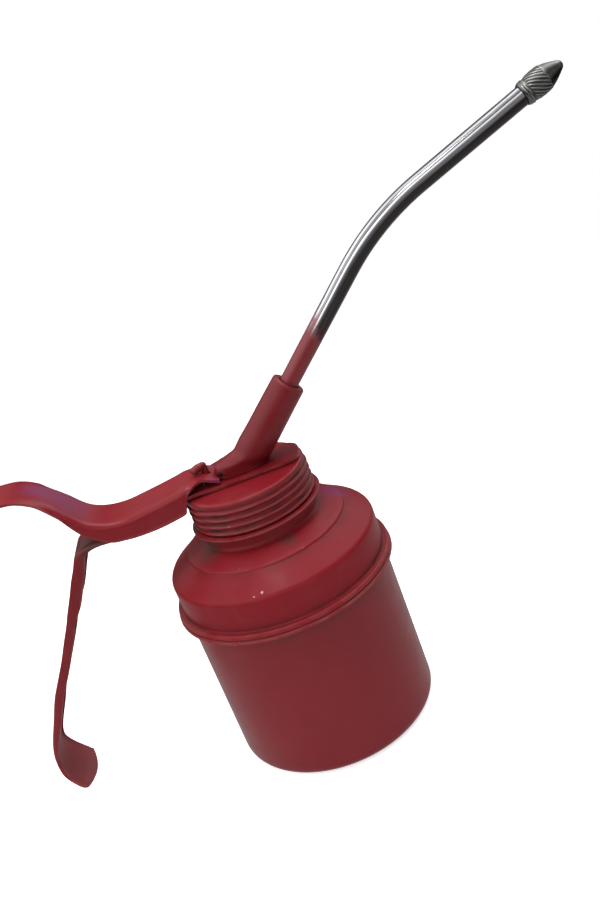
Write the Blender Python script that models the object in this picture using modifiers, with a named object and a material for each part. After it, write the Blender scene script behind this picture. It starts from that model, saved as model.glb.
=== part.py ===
# Pump oil can with a thumb lever, built as the separate pieces it comes apart into.
# Metres, +Z up. The origin is the centre of the can's base, the spout points to +X
# and the lever and the handle lie towards -X.

import math

import bmesh
import bpy
from mathutils import Matrix, Vector

# Fits
GAP = 0.0003                  # between pieces that meet or turn past each other
OVERRUN = 0.0020              # how far a cutter runs past what it cuts
MERGE = 0.00001               # weld distance of turned shapes

# Facets
WIDE_STEPS = 48               # round the can
SMALL_STEPS = 20              # round the pump and the spout
TINY_STEPS = 14
ARC_STEPS = 3                 # along a large rounded corner
LARGE_CORNER = 0.0020
SMALL_CORNER = 0.0008

# Can
CAN_RADIUS = 0.0430
CAN_SHEET = 0.0008
CAN_HEIGHT = 0.07015          # base to the seam
CAN_CORNER = 0.00435

# Rolled seam between can and shoulder
SEAM_REACH = 0.0034           # how far the lip stands out
SEAM_HEIGHT = 0.00375
SEAM_WAIST = 0.0004
SEAM_ROLL = 0.0008
SEAM_HEM = 0.0014             # folded flange of the can inside the seam

# Shoulder
SHOULDER_STEP = 0.00055       # its wall stands out from the can's
SHOULDER_WALL_HEIGHT = 0.01684
SHOULDER_CORNER = 0.0025
CONE_ANGLE = 35.6
STEP_RADIUS = 0.0336
STEP_DEPTH = 0.0005
STEP_HEIGHT = 0.0009
CROWN_ANGLE = 27.3
NECK_RADIUS = 0.0234
NECK_FILLET = 0.0022
NECK_HEIGHT = 0.0170          # above the crown

# Cap
CAP_SHEET = 0.0007
CAP_BAND_RADIUS = 0.0250
CAP_EDGE = 0.0012
CAP_RIDGES = 4
RIDGE_PITCH = 0.00303
RIDGE_MEAN_RADIUS = 0.02510
RIDGE_HEIGHT = 0.00045
RIDGE_POINTS = 4
CAP_BAND_HEIGHT = 0.0023      # plain band above the ridges
CAP_LIP_RADIUS = 0.0273
CAP_LIP_HEIGHT = 0.0011
GASKET_HEIGHT = 0.0012
GASKET_MARGIN = 0.0004        # between its bore and the pump

# Handle strap, from the plate on the cap to the paddle by the base
STRAP_SHEET = 0.0014
STRAP_HALF_WIDTH = 0.0092
STRAP_BEND = 0.0020
PLATE_END = 0.0242
PLATE_BOW = 0.0018
JOGGLE_START = 0.0265
JOGGLE_RUN = 0.0080
RUN_DROP = 0.00495
HAND_ROOM = 0.0734            # seam to the outermost point
PADDLE_CLEARANCE = 0.0114     # paddle tip above the base
PADDLE_HALF_WIDTH = 0.0134

# Spout socket
SOCKET_X = 0.0011             # where its axis meets the strap
SPOUT_LEAN = 42.9
SOCKET_LENGTH = 0.0391
SOCKET_LOW_RADIUS = 0.0072
SOCKET_TOP_RADIUS = 0.0066
SOCKET_CHAMFER = 0.0006
SOCKET_SEAT_DEPTH = 0.0100
FOOT_BACK = 0.0097            # the foot's end by the lever
FOOT_HALF_WIDTH = 0.0059
LUG_HEIGHT = 0.0049
LUG_SLOT_HALF_WIDTH = 0.00195
LUG_SLOT_HEIGHT = 0.0046
STEM_X = 0.0030
STEM_RADIUS = 0.0034
STEM_LENGTH = 0.0112
OIL_WAY_RADIUS = 0.0016
SOCKET_POINTS = 24

# Stem nut and washer
WASHER_RADIUS = 0.0060
WASHER_HEIGHT = 0.0008
NUT_FLATS = 0.0110
NUT_HEIGHT = 0.0030

# Spout tube
TUBE_RADIUS = 0.00375
TUBE_WALL = 0.0009
TUBE_STRAIGHT = 0.0487        # socket face to the bend
TUBE_BEND_RADIUS = 0.1007
TIP_LEAN = 19.9
TUBE_TIP_STRAIGHT = 0.0449    # bend to the nozzle's collar
TUBE_BEND_POINTS = 10

# Nozzle and its seal
NOZZLE_LENGTH = 0.01975
NOZZLE_COLLAR_RADIUS = 0.00455
NOZZLE_BAND_RADIUS = 0.00505
NOZZLE_BAND_START = 0.0026
NOZZLE_BAND_END = 0.0106
NOZZLE_TIP_RADIUS = 0.0011
NOZZLE_HOLE_RADIUS = 0.0006
NOZZLE_SOCKET_DEPTH = 0.0050
NOZZLE_SEAL_HEIGHT = 0.0009
FLUTES = 18
FLUTE_DEPTH = 0.00035
FLUTE_TWIST = 74.0

# Thumb lever
PIVOT_BACK = 0.0017           # pivot ahead of the foot's end
PIVOT_HEIGHT = 0.00265        # above the strap
LEVER_SHEET = 0.0011
LEVER_HALF_WIDTH = 0.0108
LEVER_BEND = 0.0025
LEVER_LENGTH = 0.1000         # pivot to the tail's end
LEVER_RISE = 0.0224           # pivot to the tail's top
LEVER_FLANGE = 0.0070         # straight part of the deepest flange
EYE_RADIUS = 0.0017
EYE_BORE = 0.00115
EYE_HALF_WIDTH = 0.0016
PIN_RADIUS = 0.00095
PIN_CHAMFER = 0.0003
PIN_PROUD = 0.0002            # of the lug at each end
TONGUE_FRONT = 0.0009         # corners of the tongue behind the pivot
LUG_CLEARANCE = 0.0004

# Plunger
ROD_ARM = 0.0054              # pivot to rod
ROD_RADIUS = 0.0021
ROD_TOP_RADIUS = 0.0014
ROD_SHOULDER = 0.0013         # shoulder above the strap
HOOK_HEIGHT = 0.0079          # hook's centre line above the strap
HOOK_LENGTH = 0.0056
HOOK_BEND = 0.0018
HOOK_DROP = 0.0011            # of its end below the bend's top
TONGUE_HOLE_RADIUS = 0.0018
ROD_TAIL_RADIUS = 0.0014
PISTON_DEPTH = 0.0166         # strap to the piston disc's top
DISC_HEIGHT = 0.0024
CUP_HEIGHT = 0.0032
CUP_WALL = 0.0011
PISTON_WASHER_HEIGHT = 0.0008
PISTON_NUT_FLATS = 0.0050
PISTON_NUT_HEIGHT = 0.0022
ROD_TAIL_LENGTH = 0.0106

# Pump barrel
BARREL_RADIUS = 0.0065
BARREL_WALL = 0.0009
BARREL_LENGTH = 0.0444
BARREL_HEAD = 0.0025
NOSE_RADIUS = 0.0032
PACKING_HEIGHT = 0.0042
PACKING_RING_HEIGHT = 0.0020
SPRING_RADIUS = 0.0042
SPRING_WIRE = 0.00045
SPRING_TURNS = 8
SPRING_POINTS = 8

# Foot valve
VALVE_HEIGHT = 0.0157
VALVE_SPIGOT = 0.0033
CHAMBER_RADIUS = 0.0032
CHAMBER_FLOOR = 0.0030        # seat ring above the valve's base
SEAT_RADIUS = 0.0016
SEAT_CHAMFER = 0.0014
INLET_BALL_RADIUS = 0.0024
INLET_LIFT = 0.0012
RETAINER_HEIGHT = 0.0008
TAIL_RADIUS = 0.0042
TAIL_HEIGHT = 0.0060
PORT_HEIGHT = 0.0125          # side port above the valve's base
PORT_RADIUS = 0.0011

# Riser and outlet valve
RISER_RADIUS = 0.0018
RISER_WALL = 0.0006
RISER_BEND = 0.0060
RISER_SEAT = 0.0020
OUTLET_RADIUS = 0.0046
OUTLET_HEIGHT = 0.0136
OUTLET_SOCKET = 0.0042
OUTLET_CHAMBER_RADIUS = 0.0024
OUTLET_SEAT_HEIGHT = 0.0036
OUTLET_SEAT_RADIUS = 0.0011
OUTLET_CHAMFER = 0.0010
OUTLET_BALL_RADIUS = 0.0018
OUTLET_SPRING_RADIUS = 0.0015
OUTLET_SPRING_WIRE = 0.00022
OUTLET_SPRING_TURNS = 4

# Suction tube and strainer
SUCTION_RADIUS = 0.0025
SUCTION_WALL = 0.0007
SUCTION_SEAT = 0.0050
STRAINER_RADIUS = 0.0040
STRAINER_WALL = 0.0006
STRAINER_HEIGHT = 0.0090
STRAINER_CLEARANCE = 0.0022   # above the can's floor
STRAINER_SLOTS = 4
STRAINER_SLOT_WIDTH = 0.0012

# Outline of the lever, from the pivot to the tail, in shares of LEVER_LENGTH,
# LEVER_RISE, LEVER_HALF_WIDTH and LEVER_FLANGE, with the fold of its edge in degrees:
# distance back, height, half width, straight flange, fold
LEVER_SHARES = (
    (0.000, -0.060, 0.713, 0.07, 0),
    (0.010, -0.042, 0.713, 0.07, 0),
    (0.025, -0.011, 0.713, 0.07, 0),
    (0.041, 0.022, 0.713, 0.07, 0),
    (0.054, 0.059, 0.713, 0.07, 0),
    (0.072, 0.092, 0.724, 0.07, 0),
    (0.090, 0.107, 0.778, 0.07, 8),
    (0.106, 0.107, 0.861, 0.07, 20),
    (0.126, 0.100, 0.955, 0.09, 45),
    (0.144, 0.086, 0.991, 0.12, 75),
    (0.160, 0.065, 1.000, 0.40, 88),
    (0.1665, 0.054, 1.000, 0.96, 90),
    (0.185, 0.038, 1.000, 0.985, 90),
    (0.213, 0.022, 1.000, 1.000, 90),
    (0.259, -0.006, 1.000, 1.000, 90),
    (0.304, -0.028, 1.000, 0.985, 90),
    (0.349, -0.050, 1.000, 0.925, 90),
    (0.394, -0.067, 1.000, 0.850, 90),
    (0.436, -0.059, 1.000, 0.805, 90),
    (0.477, -0.029, 1.000, 0.820, 90),
    (0.515, 0.029, 1.000, 0.715, 90),
    (0.551, 0.122, 1.000, 0.600, 90),
    (0.581, 0.258, 1.000, 0.640, 90),
    (0.608, 0.408, 1.000, 0.500, 90),
    (0.636, 0.560, 1.000, 0.260, 75),
    (0.666, 0.697, 1.000, 0.130, 45),
    (0.696, 0.806, 1.000, 0.075, 20),
    (0.728, 0.889, 1.000, 0.075, 12),
    (0.765, 0.966, 1.000, 0.075, 12),
    (0.804, 1.002, 1.000, 0.075, 12),
    (0.845, 1.018, 1.000, 0.075, 12),
    (0.890, 1.024, 1.000, 0.075, 12),
    (0.930, 1.020, 0.970, 0.075, 12),
    (0.965, 1.007, 0.850, 0.075, 12),
    (0.988, 0.993, 0.650, 0.075, 12),
    (1.000, 0.984, 0.400, 0.075, 12),
)

# Rounded end of the strap's plate: shares of PLATE_END, STRAP_HALF_WIDTH and PLATE_BOW
PLATE_SHARES = (
    (1.000, 0.610, 0.45),
    (0.983, 0.800, 0.61),
    (0.950, 0.924, 0.67),
    (0.893, 0.990, 0.50),
    (0.800, 1.000, 0.22),
    (0.550, 1.000, 0.00),
    (0.100, 1.000, 0.00),
)

# Outline of the strap behind the cap, in shares of the way from the joggle to the
# outermost point, of the drop from the run to the paddle's tip, of STRAP_HALF_WIDTH
# and of STRAP_BEND, with the fold of its edge in degrees:
# distance out, drop, half width, flange, fold
STRAP_SHARES = (
    (0.000, 0.000, 1.00, 0.25, 20),
    (0.065, 0.002, 1.00, 0.25, 60),
    (0.180, 0.000, 1.00, 0.25, 60),
    (0.275, -0.006, 1.00, 0.25, 60),
    (0.350, -0.009, 1.00, 0.25, 70),
    (0.395, -0.006, 1.00, 0.50, 80),
    (0.432, 0.004, 1.00, 0.95, 90),
    (0.458, 0.024, 1.00, 1.20, 90),
    (0.482, 0.059, 1.00, 1.20, 90),
    (0.524, 0.115, 1.00, 1.25, 90),
    (0.548, 0.150, 1.00, 1.45, 90),
    (0.580, 0.196, 1.00, 1.35, 90),
    (0.620, 0.252, 1.00, 0.65, 90),
    (0.660, 0.308, 1.00, 0.95, 90),
    (0.702, 0.366, 1.00, 0.85, 90),
    (0.791, 0.484, 1.00, 0.60, 90),
    (0.856, 0.564, 1.00, 0.40, 90),
    (0.908, 0.648, 1.00, 0.30, 85),
    (0.972, 0.753, 1.01, 0.25, 75),
    (0.997, 0.812, 1.06, 0.25, 55),
    (1.000, 0.850, 1.15, 0.25, 30),
    (0.984, 0.895, 1.27, 0.25, 10),
)
PADDLE_SHARES = (             # the same, to the tip, with half width and bow in place of the flange
    (0.940, 0.950, 0.94, 0.00),
    (0.908, 0.978, 0.98, 0.57),
    (0.882, 0.995, 0.97, 0.93),
    (0.876, 1.000, 0.93, 1.00),
)
PADDLE_BOW = 0.0028

# Half width of the socket's lower sections as shares of FOOT_HALF_WIDTH, and how
# square their back end is; 2 is an ellipse
BOSS_SHARES = (
    (1.00, 3.0),
    (1.02, 3.0),
    (1.04, 2.9),
    (1.08, 2.6),
    (1.12, 2.3),
)

# Nozzle outline behind the band: shares of the length past the band, and of the band's radius
NOZZLE_CONE_SHARES = ((0.06, 0.985), (0.25, 0.85), (0.43, 0.73), (0.61, 0.61), (0.80, 0.45), (0.93, 0.30))

# Places that follow from the sizes above
LIP_RADIUS = CAN_RADIUS + SEAM_REACH
SEAM_TOP = CAN_HEIGHT + SEAM_HEIGHT
SHOULDER_RADIUS = CAN_RADIUS + SHOULDER_STEP
CORNER_Z = CAN_HEIGHT + SHOULDER_WALL_HEIGHT
STEP_Z = CORNER_Z + (SHOULDER_RADIUS - STEP_RADIUS) * math.tan(math.radians(CONE_ANGLE))
CROWN_RADIUS = STEP_RADIUS - STEP_DEPTH
CROWN_Z = STEP_Z + STEP_HEIGHT
NECK_Z = CROWN_Z + (CROWN_RADIUS - NECK_RADIUS) * math.tan(math.radians(CROWN_ANGLE))
NECK_TOP = NECK_Z + NECK_HEIGHT
GASKET_Z = NECK_TOP + GAP
CAP_UNDER = GASKET_Z + GASKET_HEIGHT + GAP
CAP_TOP = CAP_UNDER + CAP_SHEET
FIRST_RIDGE_Z = CAP_TOP - CAP_BAND_HEIGHT - RIDGE_PITCH / 2
CAP_LIP_Z = FIRST_RIDGE_Z - RIDGE_PITCH * (CAP_RIDGES - 0.5)
STRAP_UNDER = CAP_TOP + GAP
STRAP_TOP = STRAP_UNDER + STRAP_SHEET
RUN_Z = STRAP_TOP - RUN_DROP
FOOT_Z = STRAP_TOP + GAP
LEAN = math.radians(SPOUT_LEAN)
TIP = math.radians(TIP_LEAN)
SPOUT_AXIS = Vector((math.cos(LEAN), 0.0, math.sin(LEAN)))
TIP_AXIS = Vector((math.cos(TIP), 0.0, math.sin(TIP)))
SOCKET_BASE = Vector((SOCKET_X, 0.0, STRAP_TOP))
SOCKET_FACE = SOCKET_BASE + SPOUT_AXIS * SOCKET_LENGTH
PIVOT = Vector((PIVOT_BACK - FOOT_BACK, 0.0, STRAP_TOP + PIVOT_HEIGHT))
ROD_X = PIVOT.x - ROD_ARM
GASKET_BORE = BARREL_RADIUS - ROD_X + GASKET_MARGIN
BARREL_TOP = CAP_UNDER - GAP
BARREL_BASE = BARREL_TOP - BARREL_LENGTH
BARREL_BORE = BARREL_RADIUS - BARREL_WALL
VALVE_TOP = BARREL_BASE - GAP
VALVE_BASE = VALVE_TOP - VALVE_HEIGHT
DISC_TOP = STRAP_TOP - PISTON_DEPTH
STEM_END = CAP_UNDER + GAP - STEM_LENGTH + CAP_SHEET


def clear_scene():
    for scene_object in list(bpy.data.objects):
        bpy.data.objects.remove(scene_object, do_unlink=True)


def new_collection(name):
    collection = bpy.data.collections.new(name)
    bpy.context.scene.collection.children.link(collection)
    return collection


clear_scene()
PARTS = new_collection("pump_oil_can")
GUIDES = new_collection("cutters")


def finish(name, colour, roughness, metallic):
    material = bpy.data.materials.new(name)
    material.use_nodes = True
    shader = material.node_tree.nodes["Principled BSDF"]
    shader.inputs["Base Color"].default_value = (*colour, 1.0)
    shader.inputs["Roughness"].default_value = roughness
    shader.inputs["Metallic"].default_value = metallic
    return material


RED = finish("red_paint", (0.36, 0.03, 0.03), 0.42, 0.0)
CHROME = finish("chromed_brass", (0.80, 0.79, 0.77), 0.15, 1.0)
STEEL = finish("bright_steel", (0.56, 0.56, 0.57), 0.30, 1.0)
BRASS = finish("brass", (0.70, 0.52, 0.22), 0.35, 1.0)
SPRING_STEEL = finish("spring_steel", (0.42, 0.43, 0.45), 0.35, 1.0)
RUBBER = finish("black_rubber", (0.03, 0.03, 0.03), 0.70, 0.0)
LEATHER = finish("cup_leather", (0.35, 0.21, 0.10), 0.80, 0.0)


def axis_point(name, place, turn=None):
    """An empty on a joint's axis, which carries the pieces that move there."""
    empty = bpy.data.objects.new(name, None)
    PARTS.objects.link(empty)
    empty.location = place
    if turn is not None:
        empty.rotation_euler = turn
    return empty


def add_piece(name, data, material, empty=None, place=(0.0, 0.0, 0.0)):
    """Link a piece whose mesh or curve is drawn around the world point `place`."""
    piece = bpy.data.objects.new(name, data)
    PARTS.objects.link(piece)
    if material is not None:
        data.materials.append(material)
    piece.location = place
    if empty is not None:
        piece.parent = empty
        piece.location = Vector(place) - empty.location
    return piece


def as_guide(guide):
    for collection in list(guide.users_collection):
        collection.objects.unlink(guide)
    GUIDES.objects.link(guide)
    guide.hide_render = True
    guide.display_type = "WIRE"
    return guide


def combine(target, other, operation):
    modifier = target.modifiers.new(other.name, "BOOLEAN")
    modifier.operation = operation
    modifier.object = as_guide(other)
    return target


def cut(target, cutter):
    return combine(target, cutter, "DIFFERENCE")


def join(target, other):
    return combine(target, other, "UNION")


def mesh_of(name, points, faces, edges=()):
    mesh = bpy.data.meshes.new(name)
    mesh.from_pydata([tuple(point) for point in points], list(edges), list(faces))
    mesh.update()
    return mesh


def rod_mesh(name, start, end, radius, end_radius=None, sides=SMALL_STEPS):
    """A closed cylinder, cone or prism from one world point to another."""
    start = Vector(start)
    end = Vector(end)
    turn = Vector((0.0, 0.0, 1.0)).rotation_difference(end - start).to_matrix().to_4x4()
    shape = bmesh.new()
    bmesh.ops.create_cone(
        shape,
        cap_ends=True,
        segments=sides,
        radius1=radius,
        radius2=radius if end_radius is None else end_radius,
        depth=(end - start).length,
        matrix=Matrix.Translation((start + end) / 2) @ turn,
    )
    mesh = bpy.data.meshes.new(name)
    shape.to_mesh(mesh)
    shape.free()
    return mesh


def rod_guide(name, start, end, radius, end_radius=None, sides=SMALL_STEPS):
    return add_piece(name, rod_mesh(name, start, end, radius, end_radius, sides), None)


def box_guide(name, low, high):
    low = Vector(low)
    high = Vector(high)
    shape = bmesh.new()
    size = high - low
    scale = Matrix.Diagonal((size.x, size.y, size.z, 1.0))
    bmesh.ops.create_cube(shape, size=1.0, matrix=Matrix.Translation((low + high) / 2) @ scale)
    mesh = bpy.data.meshes.new(name)
    shape.to_mesh(mesh)
    shape.free()
    return add_piece(name, mesh, None)


def rounded(corners):
    """Points of an outline whose corners (across, up, radius) are rounded by tangent arcs."""
    points = []
    last = len(corners) - 1
    for index, (across, up, radius) in enumerate(corners):
        here = Vector((across, up))
        if index in (0, last) or radius <= 0.0:
            points.append(here)
            continue
        back = (Vector(corners[index - 1][:2]) - here).normalized()
        ahead = (Vector(corners[index + 1][:2]) - here).normalized()
        half = back.angle(ahead) / 2
        reach = radius / math.tan(half)
        centre = here + (back + ahead).normalized() * (radius / math.sin(half))
        first = here + back * reach - centre
        turn = math.pi - 2 * half
        steps = ARC_STEPS - (radius < LARGE_CORNER) - (radius < SMALL_CORNER)
        side = 1.0 if back.x * ahead.y - back.y * ahead.x < 0.0 else -1.0
        for step in range(steps + 1):
            angle = side * turn * step / steps
            cosine = math.cos(angle)
            sine = math.sin(angle)
            spoke = Vector((first.x * cosine - first.y * sine, first.x * sine + first.y * cosine))
            points.append(centre + spoke)
    return points


def offset(points, distance):
    """The outline moved to its right-hand side by a distance, as seen along it."""
    moved = []
    last = len(points) - 1
    for index, here in enumerate(points):
        before = (here - points[max(index - 1, 0)]).normalized()
        after = (points[min(index + 1, last)] - here).normalized()
        along = (before + after).normalized()
        square = Vector((along.y, -along.x))
        edge = after if index == 0 else before
        lean = square.dot(Vector((edge.y, -edge.x)))
        moved.append(here + square * (distance / lean))
    return moved


def turned(name, outline, material, empty=None, place=(0.0, 0.0, 0.0), steps=WIDE_STEPS, closed=False):
    """A piece turned about the vertical through `place`.

    The outline's points (radius, height) run down the outer side. An open outline
    starts and ends on the axis; a closed one is a ring.
    """
    count = len(outline)
    edges = [(index, index + 1) for index in range(count - 1)]
    if closed:
        edges.append((count - 1, 0))
    points = [(point[0], 0.0, point[1] - place[2]) for point in outline]
    piece = add_piece(name, mesh_of(name, points, (), edges), material, empty, place)
    screw = piece.modifiers.new("turned", "SCREW")
    screw.axis = "Z"
    screw.angle = math.tau
    screw.steps = steps
    screw.render_steps = steps
    screw.use_merge_vertices = True
    screw.merge_threshold = MERGE
    screw.use_smooth_shade = True
    return piece


def ring_outline(outer, inner, low, high):
    return ((inner, high), (outer, high), (outer, low), (inner, low))


def drawn_tube(name, points, radius, wall, material, empty=None, sides=4):
    """A tube along world points: a bevelled curve with open ends, walled inwards."""
    origin = empty.location if empty is not None else Vector()
    curve = bpy.data.curves.new(name, "CURVE")
    curve.dimensions = "3D"
    curve.bevel_depth = radius
    curve.bevel_resolution = sides
    curve.use_fill_caps = wall is None
    curve.render_resolution_u = 0
    spline = curve.splines.new("POLY")
    spline.points.add(len(points) - 1)
    for node, point in zip(spline.points, points):
        node.co = (*(Vector(point) - origin), 1.0)
    piece = bpy.data.objects.new(name, curve)
    PARTS.objects.link(piece)
    curve.materials.append(material)
    if empty is not None:
        piece.parent = empty
    if wall is not None:
        walled(piece, wall)
    return piece


def walled(piece, wall):
    solidify = piece.modifiers.new("wall", "SOLIDIFY")
    solidify.thickness = wall
    solidify.offset = -1.0
    solidify.use_even_offset = True
    return piece


def as_mesh(piece):
    """Replace a curve or a turned piece by its welded mesh, so that it can be cut or joined."""
    bpy.context.view_layer.update()
    graph = bpy.context.evaluated_depsgraph_get()
    mesh = bpy.data.meshes.new_from_object(piece.evaluated_get(graph))
    shape = bmesh.new()
    shape.from_mesh(mesh)
    bmesh.ops.remove_doubles(shape, verts=shape.verts, dist=MERGE)
    shape.to_mesh(mesh)
    shape.free()
    name = piece.name
    place = piece.matrix_world.copy()
    drawn = piece.data
    bpy.data.objects.remove(piece)
    if isinstance(drawn, bpy.types.Curve):
        bpy.data.curves.remove(drawn)
    else:
        bpy.data.meshes.remove(drawn)
    solid = bpy.data.objects.new(name, mesh)
    PARTS.objects.link(solid)
    solid.matrix_world = place
    return solid


def loft(name, rings, material, empty=None, closed=True):
    """Skin a row of sections. Closed sections get end faces, open ones stay a sheet."""
    origin = empty.location if empty is not None else Vector()
    size = len(rings[0])
    points = [Vector(point) - origin for ring in rings for point in ring]
    faces = []
    for row in range(len(rings) - 1):
        for column in range(size if closed else size - 1):
            here = row * size + column
            beside = row * size + (column + 1) % size
            faces.append((here, beside, beside + size, here + size))
    if closed:
        faces.append(tuple(reversed(range(size))))
        faces.append(tuple(range(len(points) - size, len(points))))
    mesh = mesh_of(name, points, faces)
    mesh.shade_smooth()
    return add_piece(name, mesh, material, empty, origin)


def folded_edge(half_width, bend_radius, fold, lip):
    """One half of a channel's section as (out, down) points, from the flat to the lip's edge.

    The bend keeps its length as it opens, so that a flat sheet has the same points.
    """
    angle = math.radians(fold)
    bend_length = bend_radius * math.pi / 2
    points = [(0.0, 0.0)]
    for step in range(1, ARC_STEPS + 1):
        share = step / ARC_STEPS
        if angle > 0.0:
            radius = bend_length / angle
            points.append((radius * math.sin(angle * share), radius * (1 - math.cos(angle * share))))
        else:
            points.append((bend_length * share, 0.0))
    out, down = points[-1]
    points.append((out + lip * math.cos(angle), down + lip * math.sin(angle)))
    flat = half_width - points[-1][0]
    return [(flat + out, down) for out, down in points]


def coil_points(centre_x, low, high, radius, turns, per_turn):
    points = []
    for step in range(turns * per_turn + 1):
        angle = math.tau * step / per_turn
        height = low + (high - low) * step / (turns * per_turn)
        points.append((centre_x + radius * math.cos(angle), radius * math.sin(angle), height))
    return points


def build_can(can):
    flange_low = CAN_HEIGHT + CAN_SHEET + GAP
    flange_high = flange_low + SEAM_HEM
    flange_radius = LIP_RADIUS - CAN_SHEET - GAP
    inside = CAN_RADIUS - CAN_SHEET
    outline = rounded((
        (0.0, CAN_SHEET, 0.0),
        (inside, CAN_SHEET, CAN_CORNER - CAN_SHEET),
        (inside, flange_high, 0.0),
        (flange_radius, flange_high, 0.0),
        (flange_radius, flange_low, 0.0),
        (CAN_RADIUS, flange_low, 0.0),
        (CAN_RADIUS, 0.0, CAN_CORNER),
        (0.0, 0.0, 0.0),
    ))
    turned("can_body", outline, RED, can)

    neck_bore = NECK_RADIUS - CAN_SHEET
    shell = rounded((
        (NECK_RADIUS, NECK_TOP, 0.0),
        (NECK_RADIUS, NECK_Z, NECK_FILLET),
        (CROWN_RADIUS, CROWN_Z, CAN_SHEET),
        (STEP_RADIUS, STEP_Z, STEP_DEPTH),
        (SHOULDER_RADIUS, CORNER_Z, SHOULDER_CORNER),
        (SHOULDER_RADIUS, SEAM_TOP + SEAM_ROLL, 0.0),
    ))
    lining = offset(shell, CAN_SHEET)
    seam = rounded((
        (SHOULDER_RADIUS, SEAM_TOP, 0.0),
        (LIP_RADIUS - SEAM_WAIST, SEAM_TOP, SEAM_ROLL),
        (LIP_RADIUS - SEAM_WAIST * 1.6, (CAN_HEIGHT + SEAM_TOP) / 2 - SEAM_WAIST, SEAM_WAIST),
        (LIP_RADIUS, CAN_HEIGHT + SEAM_WAIST, SEAM_WAIST),
        (LIP_RADIUS, CAN_HEIGHT, 0.0),
        (CAN_RADIUS + GAP, CAN_HEIGHT, 0.0),
    ))
    inside_seam = [
        Vector((CAN_RADIUS + GAP, CAN_HEIGHT + CAN_SHEET)),
        Vector((LIP_RADIUS - CAN_SHEET, CAN_HEIGHT + CAN_SHEET)),
        Vector((LIP_RADIUS - CAN_SHEET, SEAM_TOP - CAN_SHEET)),
        Vector((SHOULDER_RADIUS - CAN_SHEET, SEAM_TOP - CAN_SHEET)),
    ]
    lining[0] = Vector((neck_bore, NECK_TOP))
    outline = shell + seam + inside_seam + list(reversed(lining))
    turned("can_shoulder", outline, RED, can, closed=True)


def ridge_radius(height):
    """The cap's side swells once for each turn of its rolled thread."""
    return RIDGE_MEAN_RADIUS + RIDGE_HEIGHT * math.cos(math.tau * (height - FIRST_RIDGE_Z) / RIDGE_PITCH)


def build_cap(head):
    inside = RIDGE_MEAN_RADIUS - RIDGE_HEIGHT - CAP_SHEET
    outline = rounded((
        (0.0, CAP_TOP, 0.0),
        (CAP_BAND_RADIUS, CAP_TOP, CAP_EDGE),
        (CAP_BAND_RADIUS, FIRST_RIDGE_Z + RIDGE_PITCH / 2, 0.0),
    ))
    for step in range(1, CAP_RIDGES * RIDGE_POINTS):
        height = FIRST_RIDGE_Z + RIDGE_PITCH / 2 - RIDGE_PITCH * step / RIDGE_POINTS
        outline.append(Vector((ridge_radius(height), height)))
    lip_low = CAP_LIP_Z - CAP_LIP_HEIGHT
    outline += rounded((
        (RIDGE_MEAN_RADIUS - RIDGE_HEIGHT, CAP_LIP_Z, 0.0),
        (CAP_LIP_RADIUS, CAP_LIP_Z, CAP_LIP_HEIGHT / 2),
        (CAP_LIP_RADIUS, lip_low, CAP_LIP_HEIGHT / 3),
        (inside, lip_low, 0.0),
        (inside, CAP_UNDER, CAP_SHEET / 2),
        (0.0, CAP_UNDER, 0.0),
    ))
    cap = turned("cap", outline, RED, head)
    below = CAP_UNDER - OVERRUN
    above = CAP_TOP + OVERRUN
    cut(cap, rod_guide("cap_rod_hole", (ROD_X, 0.0, below), (ROD_X, 0.0, above), NOSE_RADIUS + GAP))
    cut(cap, rod_guide("cap_stem_hole", (STEM_X, 0.0, below), (STEM_X, 0.0, above), STEM_RADIUS + GAP))


def build_gasket(ring):
    outer = RIDGE_MEAN_RADIUS - RIDGE_HEIGHT - CAP_SHEET - GAP
    outline = ring_outline(outer, GASKET_BORE, GASKET_Z, GASKET_Z + GASKET_HEIGHT)
    turned("cap_gasket", outline, RUBBER, ring, closed=True)


def strap_stations():
    """Centre line of the strap's outer face with its section, from the plate to the paddle."""
    stations = []
    for along, width, bow in PLATE_SHARES:
        stations.append((PLATE_END * along, STRAP_TOP, STRAP_HALF_WIDTH * width, 0.0, 0, PLATE_BOW * bow))
    stations.append((-JOGGLE_START, STRAP_TOP, STRAP_HALF_WIDTH, 0.0, 0, 0.0))
    joggle_end = -JOGGLE_START - JOGGLE_RUN
    for share in (0.2, 0.5, 0.8):
        blend = share * share * (3 - 2 * share)
        across = -JOGGLE_START - JOGGLE_RUN * share
        stations.append((across, STRAP_TOP - RUN_DROP * blend, STRAP_HALF_WIDTH, 0.0, 0, 0.0))
    reach = joggle_end + LIP_RADIUS + HAND_ROOM
    drop = RUN_Z - PADDLE_CLEARANCE
    for out, down, width, lip, fold in STRAP_SHARES:
        place = (joggle_end - reach * out, RUN_Z - drop * down)
        stations.append((*place, STRAP_HALF_WIDTH * width, STRAP_BEND * lip, fold, 0.0))
    for out, down, width, bow in PADDLE_SHARES:
        place = (joggle_end - reach * out, RUN_Z - drop * down)
        stations.append((*place, PADDLE_HALF_WIDTH * width, 0.0, 0, PADDLE_BOW * bow))
    return stations


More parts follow.
